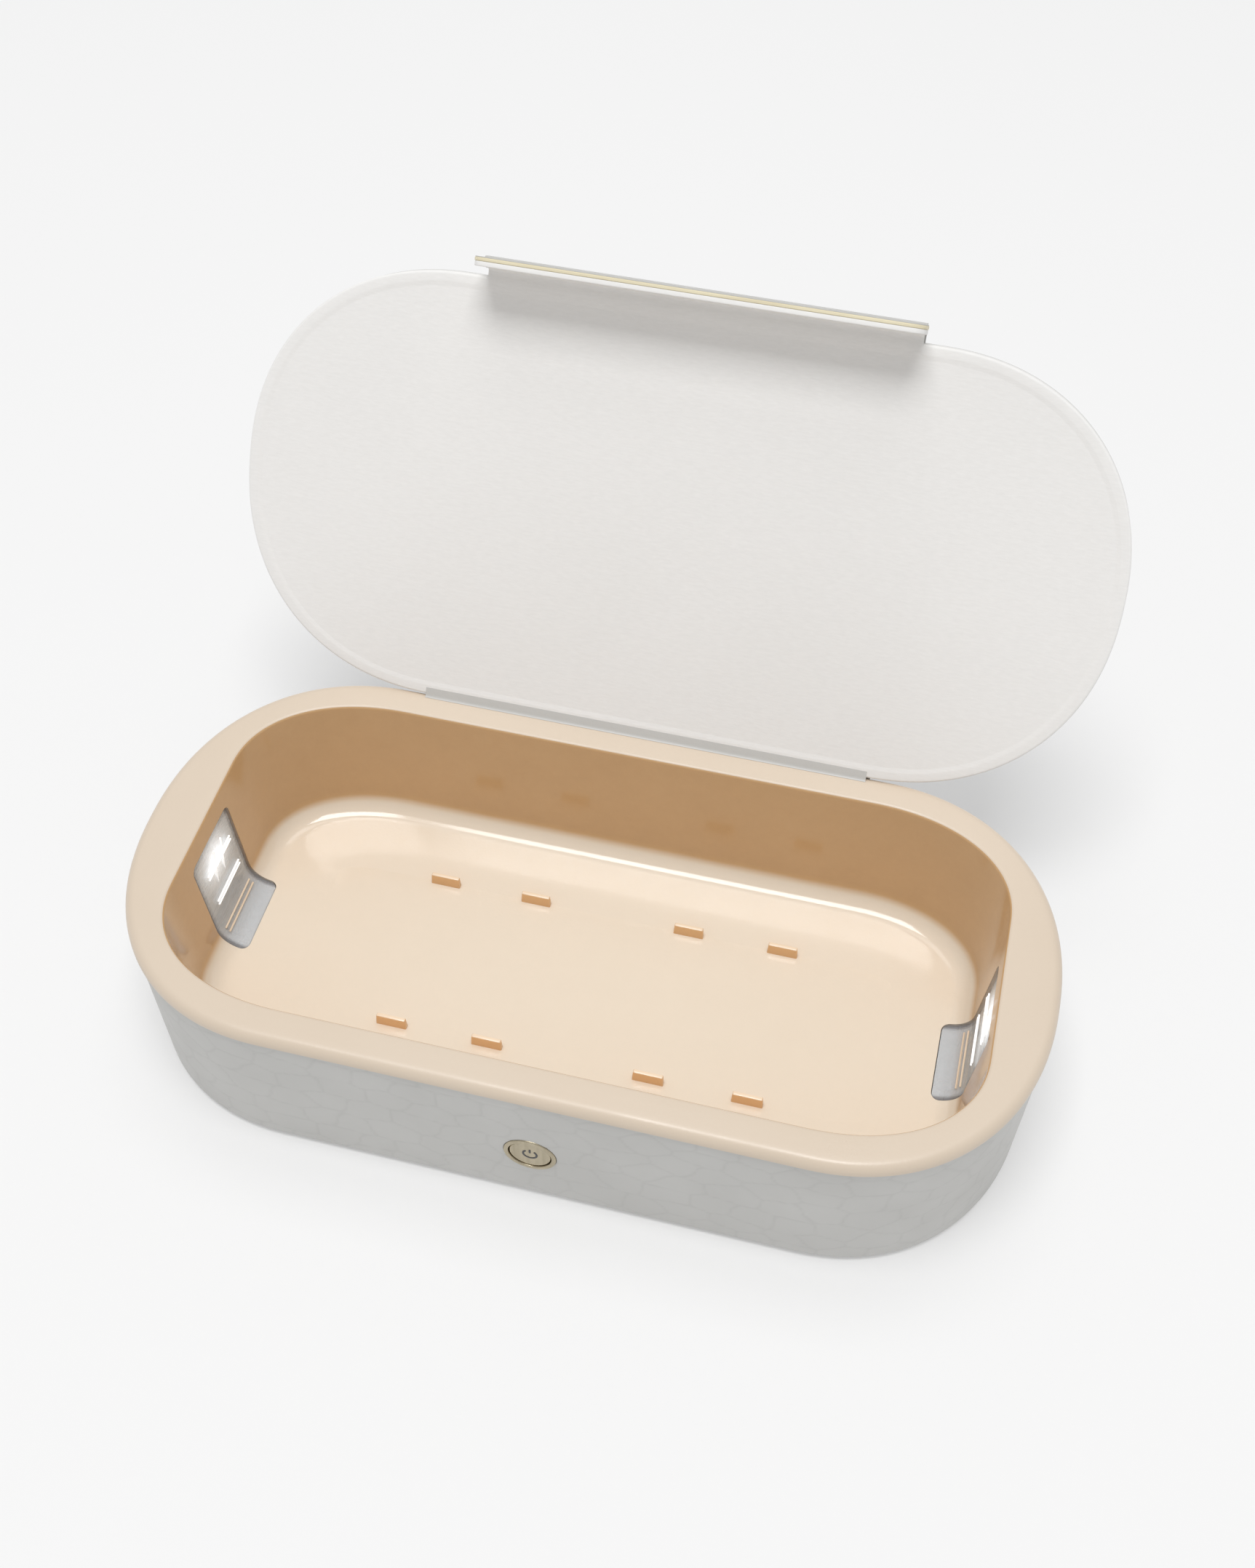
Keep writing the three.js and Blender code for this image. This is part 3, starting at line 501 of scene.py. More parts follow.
class Shader:
    """A material with short ways to add and link nodes. Its bumps are given in millimetres."""

    def __init__(self, name):
        self.material = bpy.data.materials.new(name)
        self.material.use_nodes = True
        self.tree = self.material.node_tree
        self.surface = self.tree.nodes["Principled BSDF"]
        self.coordinates = self.tree.nodes.new("ShaderNodeTexCoord").outputs["Object"]

    def set(self, **values):
        for name, value in values.items():
            self.surface.inputs[name.replace("_", " ")].default_value = value
        return self

    def add(self, kind, inputs, **settings):
        made = self.tree.nodes.new(kind)
        for name, value in settings.items():
            setattr(made, name, value)
        for name, value in inputs.items():
            if isinstance(value, bpy.types.NodeSocket):
                self.tree.links.new(value, made.inputs[name])
            else:
                made.inputs[name].default_value = value
        return made

    def link(self, output, name):
        self.tree.links.new(output, self.surface.inputs[name])

    def axis(self, name):
        return self.add("ShaderNodeSeparateXYZ", {"Vector": self.coordinates}).outputs[name]

    def stretched(self, scale):
        """Coordinates scaled along each axis, for a noise that is drawn out along one."""
        inputs = {"Vector": self.coordinates, "Scale": scale}
        return self.add("ShaderNodeMapping", inputs).outputs["Vector"]

    def noise(self, scale, detail=4, roughness=0.5, vector=None):
        inputs = {"Vector": vector or self.coordinates, "Scale": scale, "Detail": detail,
                  "Roughness": roughness}
        return self.add("ShaderNodeTexNoise", inputs).outputs["Fac"]

    def maths(self, operation, *values):
        return self.add("ShaderNodeMath", dict(enumerate(values)), operation=operation).outputs[0]

    def ramp(self, value, low, high, start=0, end=1, **settings):
        """Maps value from low..high onto start..end."""
        inputs = {"Value": value, "From Min": low, "From Max": high, "To Min": start, "To Max": end}
        return self.add("ShaderNodeMapRange", inputs, **settings).outputs["Result"]

    def varied(self, noise, start=0, end=1):
        """Maps a noise from the range that it mostly keeps to onto start..end."""
        return self.ramp(noise, NOISE_LOW, NOISE_HIGH, start, end)

    def colours(self, value, first, second):
        """Blends two colours, each either fixed or the output of a node."""
        inputs = {"Factor": value}
        for name, colour in (("A", first), ("B", second)):
            inputs[name] = colour if isinstance(colour, bpy.types.NodeSocket) else (*colour, 1)
        return self.add("ShaderNodeMix", inputs, data_type="RGBA").outputs["Result"]

    def bump(self, height, distance, strength=1.0, under=None):
        inputs = {"Height": height, "Distance": distance * MM, "Strength": strength}
        if under is not None:
            inputs["Normal"] = under
        return self.add("ShaderNodeBump", inputs).outputs["Normal"]

    def polish(self, roughness, grain):
        """A moulded surface: polish that varies slowly, over a fine grain."""
        self.link(self.varied(self.noise(60, 5), roughness * 0.8, roughness * 1.25), "Roughness")
        self.link(self.bump(self.noise(1400, 3), grain), "Normal")


def moulded_plastic(name, first, second, roughness, grain=0.02):
    """Moulded plastic: slow colour drift, polish that varies, and a faint surface grain."""
    shader = Shader(name).set(Specular_IOR_Level=0.5)
    shader.link(shader.colours(shader.varied(shader.noise(14, 3)), first, second), "Base Color")
    shader.polish(roughness, grain)
    return shader.material


def basin_plastic(name, low_colours, high_colours, low, high, roughness):
    """Polished moulding whose colour changes between two heights, with a slow drift."""
    shader = Shader(name).set(Specular_IOR_Level=0.45, Coat_Weight=0.3, Coat_Roughness=0.06)
    drift = shader.varied(shader.noise(30, 12, 0.85))
    height = shader.ramp(shader.axis("Z"), low * MM, high * MM, interpolation_type="SMOOTHSTEP")
    low_colour = shader.colours(drift, *low_colours)
    high_colour = shader.colours(drift, *high_colours)
    shader.link(shader.colours(height, low_colour, high_colour), "Base Color")
    shader.polish(roughness, 0.02)
    return shader.material


def metal(name, colour, roughness, stretch=(30, 900, 900)):
    """Brushed or plated metal, its brush marks drawn out along one direction."""
    shader = Shader(name).set(Metallic=1.0)
    dark = tuple(0.86 * value for value in colour)
    marks = shader.noise(1, 6, vector=shader.stretched(stretch))
    shader.link(shader.colours(shader.varied(marks), colour, dark), "Base Color")
    shader.link(shader.varied(marks, roughness * 0.7, roughness * 1.4), "Roughness")
    shader.link(shader.bump(marks, 0.01), "Normal")
    return shader.material


def embossed_leather(name, first, second):
    """Coated leather with a crocodile emboss, with painted shade in its creases taken from the mesh's own crease
    attribute.
    """
    shader = Shader(name).set(Specular_IOR_Level=0.45)
    crease = shader.add("ShaderNodeAttribute", {}, attribute_name="crease").outputs["Fac"]
    # Painted shade: the creases between the scales are darkened.
    crease_shade = shader.ramp(crease, 0, 1, 0, 0.24)
    crease_shade_colour = tuple(0.72 * value for value in first)
    mottle = shader.noise(45, 4)
    plain = shader.colours(shader.varied(mottle), first, second)
    shader.link(shader.colours(crease_shade, plain, crease_shade_colour), "Base Color")
    shader.link(shader.varied(mottle, 0.42, 0.56), "Roughness")
    fine = shader.bump(shader.noise(2600, 4), 0.03, 0.6)
    wrinkle = shader.bump(shader.noise(420, 5, 0.6), 0.08, 0.7, fine)
    shader.link(wrinkle, "Normal")
    return shader.material


def lining_material(name, first, second):
    """Coated lining with a faint cloth grain that runs along the case, and a slow mottle."""
    shader = Shader(name).set(Specular_IOR_Level=0.3, Sheen_Weight=0.15, Sheen_Roughness=0.5)
    thread = shader.noise(1, 5, 0.6, shader.stretched((420, 1700, 1700)))
    both = shader.maths("ADD", thread, shader.noise(9, 5))
    shader.link(shader.colours(shader.ramp(both, 0.7, 1.3), first, second), "Base Color")
    shader.link(shader.varied(shader.noise(200, 4), 0.6, 0.75), "Roughness")
    fine = shader.bump(thread, 0.05, 0.6)
    shader.link(shader.bump(shader.noise(160, 3), 0.05, 0.4, fine), "Normal")
    return shader.material


def border_mix(shader, field, border):
    """One colour over a window's field and another over the border at its sides and top."""
    side_start, side_full = ((WINDOW_HALF_WIDTH - inset) * MM for inset in SIDE_BORDER)
    top_start, top_full = ((WINDOW_TOP - inset) * MM for inset in TOP_BORDER)
    side = shader.ramp(shader.maths("ABSOLUTE", shader.axis("Y")), side_start, side_full)
    over = shader.ramp(shader.axis("Z"), top_start, top_full)
    return shader.colours(shader.maths("MAXIMUM", side, over), field, border)


def clear_window(name):
    """Clear moulded window with a faint haze and a darker moulded border."""
    shader = Shader(name).set(IOR=1.46, Coat_Weight=0.3, Coat_Roughness=0.03)
    shader.link(border_mix(shader, WINDOW_CLEAR, WINDOW_BORDER), "Base Color")
    shader.link(shader.varied(shader.noise(300, 4), 0.22, 0.34), "Alpha")
    shader.link(shader.varied(shader.noise(500, 4), 0.06, 0.16), "Roughness")
    shader.link(shader.bump(shader.noise(260, 2), 0.04), "Normal")
    return shader.material


def reflector_with_painted_glow(name):
    """Metallised reflector, white, with the lamp's light round its middle painted on as a glow."""
    shader = Shader(name).set(Metallic=0.35, Emission_Color=(1, 1, 1, 1))
    shader.link(border_mix(shader, REFLECTOR_BRIGHT, WINDOW_BORDER), "Base Color")
    raised = shader.maths("SUBTRACT", shader.axis("Z"), LAMP_HEIGHT * MM)
    flat = shader.add("ShaderNodeCombineXYZ", {"Y": shader.axis("Y"), "Z": raised}).outputs["Vector"]
    reach = shader.add("ShaderNodeVectorMath", {0: flat}, operation="LENGTH").outputs["Value"]
    near = shader.ramp(reach, 0, 2 * LAMP_GLOW_RADIUS * MM, 1, 0)
    glow = shader.maths("POWER", near, 2.2)
    shader.link(shader.ramp(glow, 0, 1, 0, LAMP_STRENGTH), "Emission Strength")
    streaks = shader.noise(1, 5, vector=shader.stretched((60, 60, 900)))
    shader.link(shader.varied(streaks, 0.16, 0.34), "Roughness")
    shader.link(shader.bump(streaks, 0.02), "Normal")
    return shader.material


def window_bar_material(name):
    """White moulded bar, with a painted glow for the lamp's light through it."""
    shader = Shader(name).set(Emission_Color=(1, 1, 1, 1), Emission_Strength=0.5)
    white = shader.colours(shader.noise(400, 3), (0.95, 0.96, 0.97), (0.88, 0.89, 0.9))
    shader.link(white, "Base Color")
    shader.link(shader.varied(shader.noise(500, 3), 0.12, 0.25), "Roughness")
    return shader.material


def edge_paint(name):
    """Cream edge paint, a little uneven where it was brushed along the board."""
    shader = Shader(name)
    brushed = shader.noise(1, 5, vector=shader.stretched((60, 900, 900)))
    shader.link(shader.colours(shader.varied(brushed), PAINT_PALE, PAINT_DEEP), "Base Color")
    shader.link(shader.varied(brushed, 0.4, 0.6), "Roughness")
    shader.link(shader.bump(brushed, 0.06), "Normal")
    return shader.material


def glowing(name, colour, strength):
    """Face of a lit lamp, brighter at its chip."""
    shader = Shader(name).set(Base_Color=(0.9, 0.9, 0.85, 1), Emission_Color=(*colour, 1))
    spots = shader.add("ShaderNodeTexVoronoi", {"Vector": shader.coordinates, "Scale": 420})
    glow = shader.ramp(spots.outputs["Distance"], 0, 1, strength, strength * 0.6)
    shader.link(glow, "Emission Strength")
    shader.link(shader.varied(shader.noise(500, 3), 0.3, 0.5), "Roughness")
    return shader.material


def circuit_material(name):
    """Green board with copper tracks showing through the mask."""
    shader = Shader(name)
    tracks = shader.add("ShaderNodeTexBrick", {
        "Vector": shader.coordinates,
        "Scale": 300,
        "Mortar Size": 0.02,
        "Color1": (0.012, 0.09, 0.035, 1),
        "Color2": (0.016, 0.11, 0.045, 1),
        "Mortar": (0.05, 0.2, 0.09, 1),
    })
    shader.link(tracks.outputs["Color"], "Base Color")
    shader.link(shader.varied(shader.noise(120, 3), 0.3, 0.45), "Roughness")
    shader.link(shader.bump(tracks.outputs["Fac"], 0.03), "Normal")
    return shader.material


def fibrous(name, first, second, roughness=0.9):
    """Foam, fibreboard or rubber: fine speckle and a rough surface."""
    shader = Shader(name)
    speckle = shader.noise(700, 5, 0.7)
    shader.link(shader.colours(shader.ramp(speckle, 0.35, 0.65), first, second), "Base Color")
    shader.link(shader.varied(shader.noise(90, 3), roughness * 0.9, roughness), "Roughness")
    shader.link(shader.bump(speckle, 0.06, 0.8), "Normal")
    return shader.material


MATERIALS = {
    # The tray's finish paints shade on its walls, as a deeper tone than its floor.
    "tray_plastic": basin_plastic("peach_gloss_painted_shade", PEACH_FLOOR, PEACH_WALL_PAINTED_SHADE, *PAINTED_SHADE_HEIGHTS, 0.12),
    "shell_plastic": moulded_plastic("cream_satin", (0.66, 0.62, 0.55), (0.62, 0.58, 0.51), 0.45, 0.05),
    "leather": embossed_leather("croc_leather", LEATHER_PALE, LEATHER_DEEP),
    "lining": lining_material("pale_lining", LINING_PALE, LINING_DEEP),
    "fibreboard": fibrous("fibreboard", (0.40, 0.32, 0.22), (0.30, 0.24, 0.17)),
    "rubber_pad": fibrous("silicone", (0.50, 0.48, 0.44), (0.45, 0.43, 0.40), 0.7),
    "champagne": metal("champagne_metal", (0.50, 0.44, 0.32), 0.35, (900, 900, 30)),
    "window": clear_window("clear_window"),
    "reflector": metal("bright_reflector", (0.82, 0.83, 0.85), 0.16),
    "lamp": glowing("lamp_face", (1.0, 0.99, 0.97), 12),
    "steel": metal("zinc_steel", (0.56, 0.56, 0.57), 0.3, (400, 400, 400)),
    "magnet": metal("nickel", (0.60, 0.60, 0.62), 0.25, (400, 400, 400)),
    "circuit": circuit_material("circuit_green"),
    "black_plastic": moulded_plastic("black_moulded", (0.03, 0.03, 0.035), (0.045, 0.045, 0.05),
                                     0.4, 0.05),
    "cell_wrap": metal("foil_wrap", (0.45, 0.48, 0.52), 0.45, (60, 200, 200)),
    "foam": fibrous("foam", (0.07, 0.07, 0.08), (0.04, 0.04, 0.045)),
    "cable": moulded_plastic("cable_skin", (0.70, 0.67, 0.62), (0.66, 0.63, 0.58), 0.5, 0.03),
}

# Finishes of single pieces, beside the finish of each slot.
RIB_TOP = FLOOR_HEIGHT + RIB_HEIGHT
# Each rib has painted shade on its sides and a painted highlight along its top.
RIB_PAINTED_LIGHT_PLASTIC = basin_plastic("peach_rib_painted_light", PEACH_RIB_PAINTED_SHADE, PALE_PEACH_AND_RIB_HIGHLIGHT, RIB_TOP - 0.35, RIB_TOP - 0.05, 0.2)
BAR_PEACH = moulded_plastic("peach_bar", *PALE_PEACH_AND_RIB_HIGHLIGHT, 0.2)
RIM_PLASTIC = moulded_plastic("cream_satin_rim", CREAM, CREAM_WARM, 0.34, 0.03)
REFLECTOR_WITH_PAINTED_GLOW = reflector_with_painted_glow("reflector_with_painted_glow")
WINDOW_BAR = window_bar_material("window_bar")
EDGE_PAINT = edge_paint("edge_paint")


def dress_cad_nodes():
    """Gives every carried-over CAD node the material of its slot."""
    slots = {row["node"]: row["material_slot"] for row in frame["record"]["subparts"]}
    for name, node in frame["nodes"].items():
        node.data.materials.clear()
        node.data.materials.append(MATERIALS[slots[name]])


# ---- inner tray and windows ----

# Inside of the tray, from the rim down to the floor: inset, height and fillet radius.
TRAY_INSIDE = filleted([
    (-3.5, BODY_HEIGHT, 0),
    (0, BODY_HEIGHT, LIP_RADIUS),
    (WALL_FOOT_INSET, WALL_FOOT_HEIGHT, WALL_FOOT_RADIUS),
    (FLOOR_BAND, FLOOR_HEIGHT, FLOOR_RADIUS),
    (FLOOR_BAND + 2, FLOOR_HEIGHT, 0),
], 8)


def offset(profile, distance):
    """The profile moved outwards, away from the cavity, along its own normals."""
    moved = []
    for index, point in enumerate(profile):
        run = profile[min(index + 1, len(profile) - 1)] - profile[max(index - 1, 0)]
        run = run / np.linalg.norm(run)
        moved.append(point + distance * np.array([run[1], -run[0]]))
    return moved


def opening_rings(profile):
    return [(opening_outline(inset), z) for inset, z in profile]


def tray_rings():
    """Rings from the underside of the floor, out round the rim and in to the floor again."""
    rim_low = BODY_HEIGHT - RIM_THICKNESS
    under = [point for point in offset(TRAY_INSIDE, TRAY_WALL) if point[1] < rim_low]
    rim = filleted([(3, rim_low, 0), (0, rim_low, 0.4), (0, BODY_HEIGHT, RIM_EDGE_RADIUS),
                    (4, BODY_HEIGHT, 0)], 10)
    rim_rings = [(body_outline(inset), z) for inset, z in rim]
    return opening_rings(reversed(under)) + rim_rings + opening_rings(TRAY_INSIDE)


def layer_rings(outer, inner):
    """A closed layer of the basin, below its lip, between two distances behind its inside."""
    below_lip = TRAY_INSIDE[4:]
    behind = opening_rings(reversed(offset(below_lip, outer)))
    return behind + opening_rings(offset(below_lip, inner))


def within_opening(x, y, inset):
    """Whether a point lies inside the opening's outline."""
    corner_x = OPENING_CORNER_LENGTH - inset
    corner_y = OPENING_CORNER_WIDTH - inset
    past_x = max(0, abs(x) - (OPENING_HALF_LENGTH - OPENING_CORNER_LENGTH)) / corner_x
    past_y = max(0, abs(y) - (OPENING_HALF_WIDTH - OPENING_CORNER_WIDTH)) / corner_y
    return past_x ** CORNER_POWER + past_y ** CORNER_POWER < 1


def window_wall_tool(margin):
    """A rounded panel through the end wall, from below the floor to the window's top."""
    low = -10
    top = WINDOW_TOP + margin
    panel = rounded_rectangle((top - low) / 2, WINDOW_HALF_WIDTH + margin, WINDOW_CORNER + margin)
    vertices, faces = prism(panel, BEFORE_WALL_X, BEHIND_WALL_X)
    # Turned upright, it reaches towards -X, so it is mirrored to the right end.
    upright = placed(vertices, Matrix.Rotation(math.radians(-90), 4, "Y"), (0, 0, (top + low) / 2))
    upright[:, 0] *= -1
    return make_object("window_wall_tool", upright, turned_over(faces))


def window_floor_tool(margin):
    """A rounded panel down through the floor, from the window's toe to behind the wall."""
    toe_x = OPENING_HALF_LENGTH - WINDOW_TOE - margin
    half_length = (BEHIND_WALL_X - toe_x) / 2
    panel = rounded_rectangle(half_length, WINDOW_HALF_WIDTH + margin, WINDOW_CORNER + margin)
    panel = panel + np.array([(BEHIND_WALL_X + toe_x) / 2, 0])
    below_floor, above_floor = 2, 17
    return make_object("window_floor_tool", *prism(panel, below_floor, above_floor))


def window_tool(side, margin):
    """Solid that cuts out one window: its panel through the wall and its panel through the floor."""
    tool = window_wall_tool(margin)
    boolean(tool, window_floor_tool(margin), "UNION")
    if side < 0:
        tool.data.transform(HALF_TURN)
    return tool


def rib_shape(x, y):
    """One moulded rib with drafted sides, a softened top and its foot sunk in the floor."""
    levels = [(0.25, FLOOR_HEIGHT - RIB_FOOT), (0.2, FLOOR_HEIGHT + 0.1), (0, RIB_TOP - 0.3),
              (-0.12, RIB_TOP - 0.08), (-0.3, RIB_TOP)]
    rings = []
    for grow, z in levels:
        points = rounded_rectangle(RIB_LENGTH / 2 + grow, RIB_THICKNESS / 2 + grow, RIB_CORNER, 3)
        rings.append((points + np.array([x, y]), z))
    return loft(rings)


def finish_rim(tray):
    """Gives the rim, and all that lies outside the opening, its satin plastic."""
    tray.data.materials.append(RIM_PLASTIC)
    for face in tray.data.polygons:
        x, y, z = face.center / MM
        if z > BODY_HEIGHT - RIM_FINISH_DEPTH or not within_opening(x, y, -TRAY_WALL):
            face.material_index = 1


def build_tray():
    tray = make_object("tray", *loft(tray_rings()))
    for side in (-1, 1):
        boolean(tray, window_tool(side, WINDOW_GAP), "DIFFERENCE")
    finish_piece(tray, "base", "tray_plastic", "inner_tray")
    finish_rim(tray)
    places = [(side * x, y) for side in (-1, 1) for x in RIB_X for y in (-RIB_Y, RIB_Y)]
    for number, place in enumerate(places, 1):
        rib = make_object(f"tray_rib_{number}", *rib_shape(*place))
        finish_piece(rib, "base", "tray_plastic", material=RIB_PAINTED_LIGHT_PLASTIC)


def wall_inset(z):
    """Inset of the tray's inside wall at a height, above its lower fillet."""
    insets, heights = zip(*reversed(TRAY_INSIDE))
    return float(np.interp(z, heights, insets))


def bar_layout():
    """Span along Y, span along Z, width, slot and material of each bar on a window."""
    for height in CROSS_BAR_HEIGHTS:
        for z in (height - CROSS_BAR_SHIFT, height + CROSS_BAR_SHIFT):
            yield CROSS_BAR_SPAN, (z, z), BAR_WIDTH, "window", WINDOW_BAR
    for y in UPRIGHT_Y:
        yield (y, y), UPRIGHT_SPAN, UPRIGHT_WIDTH, "window", WINDOW_BAR
    for z in FOOT_BAR_HEIGHTS:
        yield FOOT_BAR_SPAN, (z, z), BAR_WIDTH, "tray_plastic", BAR_PEACH


def bar_shape(y_range, z_range, width):
    """A slim moulded bar on the right window, standing a little proud of it."""
    middle_y = (y_range[0] + y_range[1]) / 2
    middle_z = (z_range[0] + z_range[1]) / 2
    half_y = (y_range[1] - y_range[0] + width) / 2
    half_z = (z_range[1] - z_range[0] + width) / 2
    rings = []
    for proud, shrink in ((-0.3, 0), (0.1, 0), (0.2, 0.12)):
        points = rounded_rectangle(half_z - shrink, half_y - shrink, width * 0.48 - shrink, 5)
        rings.append((points, proud))
    vertices, faces = loft(rings)
    lean = math.atan2(wall_inset(middle_z - 1) - wall_inset(middle_z + 1), 2)
    against_wall = Matrix.Rotation(math.radians(-90) - lean, 4, "Y")
    wall_x = OPENING_HALF_LENGTH - wall_inset(middle_z)
    return placed(vertices, against_wall, (wall_x, middle_y, middle_z)), faces


def build_bars(side, label):
    for number, (y_range, z_range, width, slot, material) in enumerate(bar_layout(), 1):
        vertices, faces = bar_shape(y_range, z_range, width)
        if side < 0:
            vertices[:, 0] *= -1
            faces = turned_over(faces)
        bar = make_object(f"window_bar_{label}_{number}", vertices, faces)
        finish_piece(bar, "base", slot, material=material)


def window_layer(name, side, outer, inner, slot, node, material=None):
    """A layer of the basin, at a distance behind its inside, cut to the shape of a window."""
    layer = make_object(name, *loft(layer_rings(outer, inner)))
    boolean(layer, window_tool(side, -WINDOW_GAP), "INTERSECT")
    finish_piece(layer, "base", slot, node, material=material)


def build_windows():
    for side, label in ((-1, "left"), (1, "right")):
        window_layer(f"window_{label}", side, WINDOW_THICKNESS, 0, "window", f"lamp_window_{label}")
        window_layer(f"reflector_{label}", side, TRAY_WALL, WINDOW_THICKNESS + 0.1, "reflector",
                     f"lamp_reflector_{label}", REFLECTOR_WITH_PAINTED_GLOW)
        build_bars(side, label)


# ---- leather wrap ----

def scale_creases(along, across, columns):
    """1 in the creases between the leather's scales and 0 inside them, for points on the sheet."""
    cells = np.random.default_rng(SCALE_SEED).random((SCALE_ROWS, columns, 2))
    jitter = cells * (2 * SCALE_SHIFT) - SCALE_SHIFT
    row = np.floor(across).astype(int)
    column = np.floor(along).astype(int)
    nearest = np.full(len(along), 9.0)
    second = np.full(len(along), 9.0)
    for row_step in (-1, 0, 1):
        for column_step in (-2, -1, 0, 1):
            cell_row = row + row_step
            cell_column = column + column_step
            shift = jitter[cell_row % SCALE_ROWS, cell_column % columns]
            from_x = along - (cell_column + 0.5 + 0.5 * (cell_row % 2) + shift[:, 0])
            from_y = across - (cell_row + 0.5 + shift[:, 1])
            distance = (np.abs(from_x) ** 3 + np.abs(from_y) ** 3) ** (1 / 3)
            second = np.minimum(second, np.maximum(nearest, distance))
            nearest = np.minimum(nearest, distance)
    return np.exp(-((second - nearest) / CREASE_WIDTH) ** 2)


def add_crease(piece, depths):
    """Keeps how deep each point lies in a crease, for the painted shade in the leather's creases."""
    attribute = piece.data.attributes.new("crease", "FLOAT", "POINT")
    attribute.data.foreach_set("value", np.asarray(depths, np.float32))


def add_no_crease(piece):
    add_crease(piece, np.zeros(len(piece.data.vertices)))


def wrap_rings():
    """Rings of the outside, from the turned-under edge up, and of the inside, back down."""
    inner = LEATHER_INSET + LEATHER_THICKNESS
    inner_low = LEATHER_BOTTOM + LEATHER_THICKNESS
    outside = filleted([(LEATHER_INSET + 0.55, LEATHER_TOP, 0), (LEATHER_INSET, LEATHER_TOP, 0.35),
                        (LEATHER_INSET, LEATHER_BOTTOM, 1.6), (TURN_UNDER, LEATHER_BOTTOM, 0)])
    inside = [(TURN_UNDER, inner_low), (inner, inner_low), (inner, LEATHER_TOP)]
    return [[(body_outline(tapered(inset, z), **SHEET_STEPS), z) for inset, z in reversed(profile)]
            for profile in (divided(outside, SHEET_STEP), inside)]


def scale_positions(ring):
    """Position along the leather of each point of a ring, in scales, and the scales in all."""
    lengths = np.linalg.norm(np.roll(ring, -1, axis=0) - ring, axis=1)
    around = np.concatenate([[0], np.cumsum(lengths)[:-1]])
    columns = round(lengths.sum() / SCALE_LENGTH)
    return around / lengths.sum() * columns, columns


def emboss(vertices, outer):
    """Presses the creases into the outside of the wrap, and gives how deep each point lies."""
    row_start = 4.3
    count = len(outer[0][0])
    along, columns = scale_positions(outer[len(outer) // 2][0])
    depths = np.zeros(len(vertices))
    for index, (points, z) in enumerate(outer):
        rows = slice(index * count, (index + 1) * count)
        across = np.full(count, z / SCALE_HEIGHT + row_start)
        depths[rows] = scale_creases(along, across, columns)
        run = np.roll(points, -1, axis=0) - np.roll(points, 1, axis=0)
        outward = np.column_stack([run[:, 1], -run[:, 0]])
        outward = outward / np.linalg.norm(outward, axis=1)[:, None]
        vertices[rows, :2] -= outward * (CREASE_DEPTH * depths[rows])[:, None]
    return depths


def cut_button_hole(wrap):
    radius = BEZEL_RADIUS + HOLE_GAP
    depth = 2 * HOLE_REACH
    hole, faces = turned([(0, 0), (radius, 0), (radius, depth), (0, depth)])
    hole = placed(hole, FACING_FRONT, (0, -BODY_HALF_WIDTH + HOLE_REACH, BUTTON_HEIGHT))
    boolean(wrap, make_object("button_hole_tool", hole, faces), "DIFFERENCE")


def cut_port_hole(wrap):
    low, high = box_mm("port_frame")
    width, _, height = high - low
    edge = rounded_rectangle(width / 2 + HOLE_GAP, height / 2 + HOLE_GAP, height / 2)
    hole, faces = prism(edge, -HOLE_REACH, HOLE_REACH)
    hole = placed(hole, FACING_FRONT, (0, BODY_HALF_WIDTH, (low + high)[2] / 2))
    boolean(wrap, make_object("port_hole_tool", hole, faces), "DIFFERENCE")


def build_wrap():
    outer, inside = wrap_rings()
    vertices, faces = loft(outer + inside, hoop=True)
    depths = emboss(vertices, outer)
    wrap = make_object("wrap", vertices, faces)
    add_crease(wrap, depths)
    cut_button_hole(wrap)
    cut_port_hole(wrap)
    finish_piece(wrap, "base", "leather", "leather_wrap")


# ---- button ----

def build_bezel():
    depth = box_mm("button_bezel")[1][1] - BEZEL_FRONT
    inner = BUTTON_RADIUS + 0.18
    corners = [(inner, 0, 0), (BEZEL_RADIUS, 0, 0.05), (BEZEL_RADIUS, depth, 0.35),
               (inner, depth, 0.25), (inner, 0, 0)]
    vertices, faces = turned_hoop(filleted(corners, 5)[:-1], BUTTON_SIDES)
    vertices = placed(vertices, FACING_FRONT, (0, BEZEL_FRONT + depth, BUTTON_HEIGHT))
    finish_piece(make_object("bezel", vertices, faces), "base", "champagne", "button_bezel")


def build_cap():
    """The cap, whose face is a shallow dish inside a rounded edge."""
    reach = box_mm("button_cap")[1][1] - BUTTON_FRONT
    dish = reach - 0.2
    corners = [(0, 0, 0), (BUTTON_RADIUS, 0, 0.1), (BUTTON_RADIUS, reach, 0.4),
               (BUTTON_RADIUS - 0.9, dish, 1), (0, dish, 0)]
    vertices, faces = turned([(abs(radius), z) for radius, z in filleted(corners)], BUTTON_SIDES)
    vertices = placed(vertices, FACING_FRONT, (0, BUTTON_FRONT + reach, BUTTON_HEIGHT))
    finish_piece(make_object("button", vertices, faces), "button", "champagne", "button_cap")


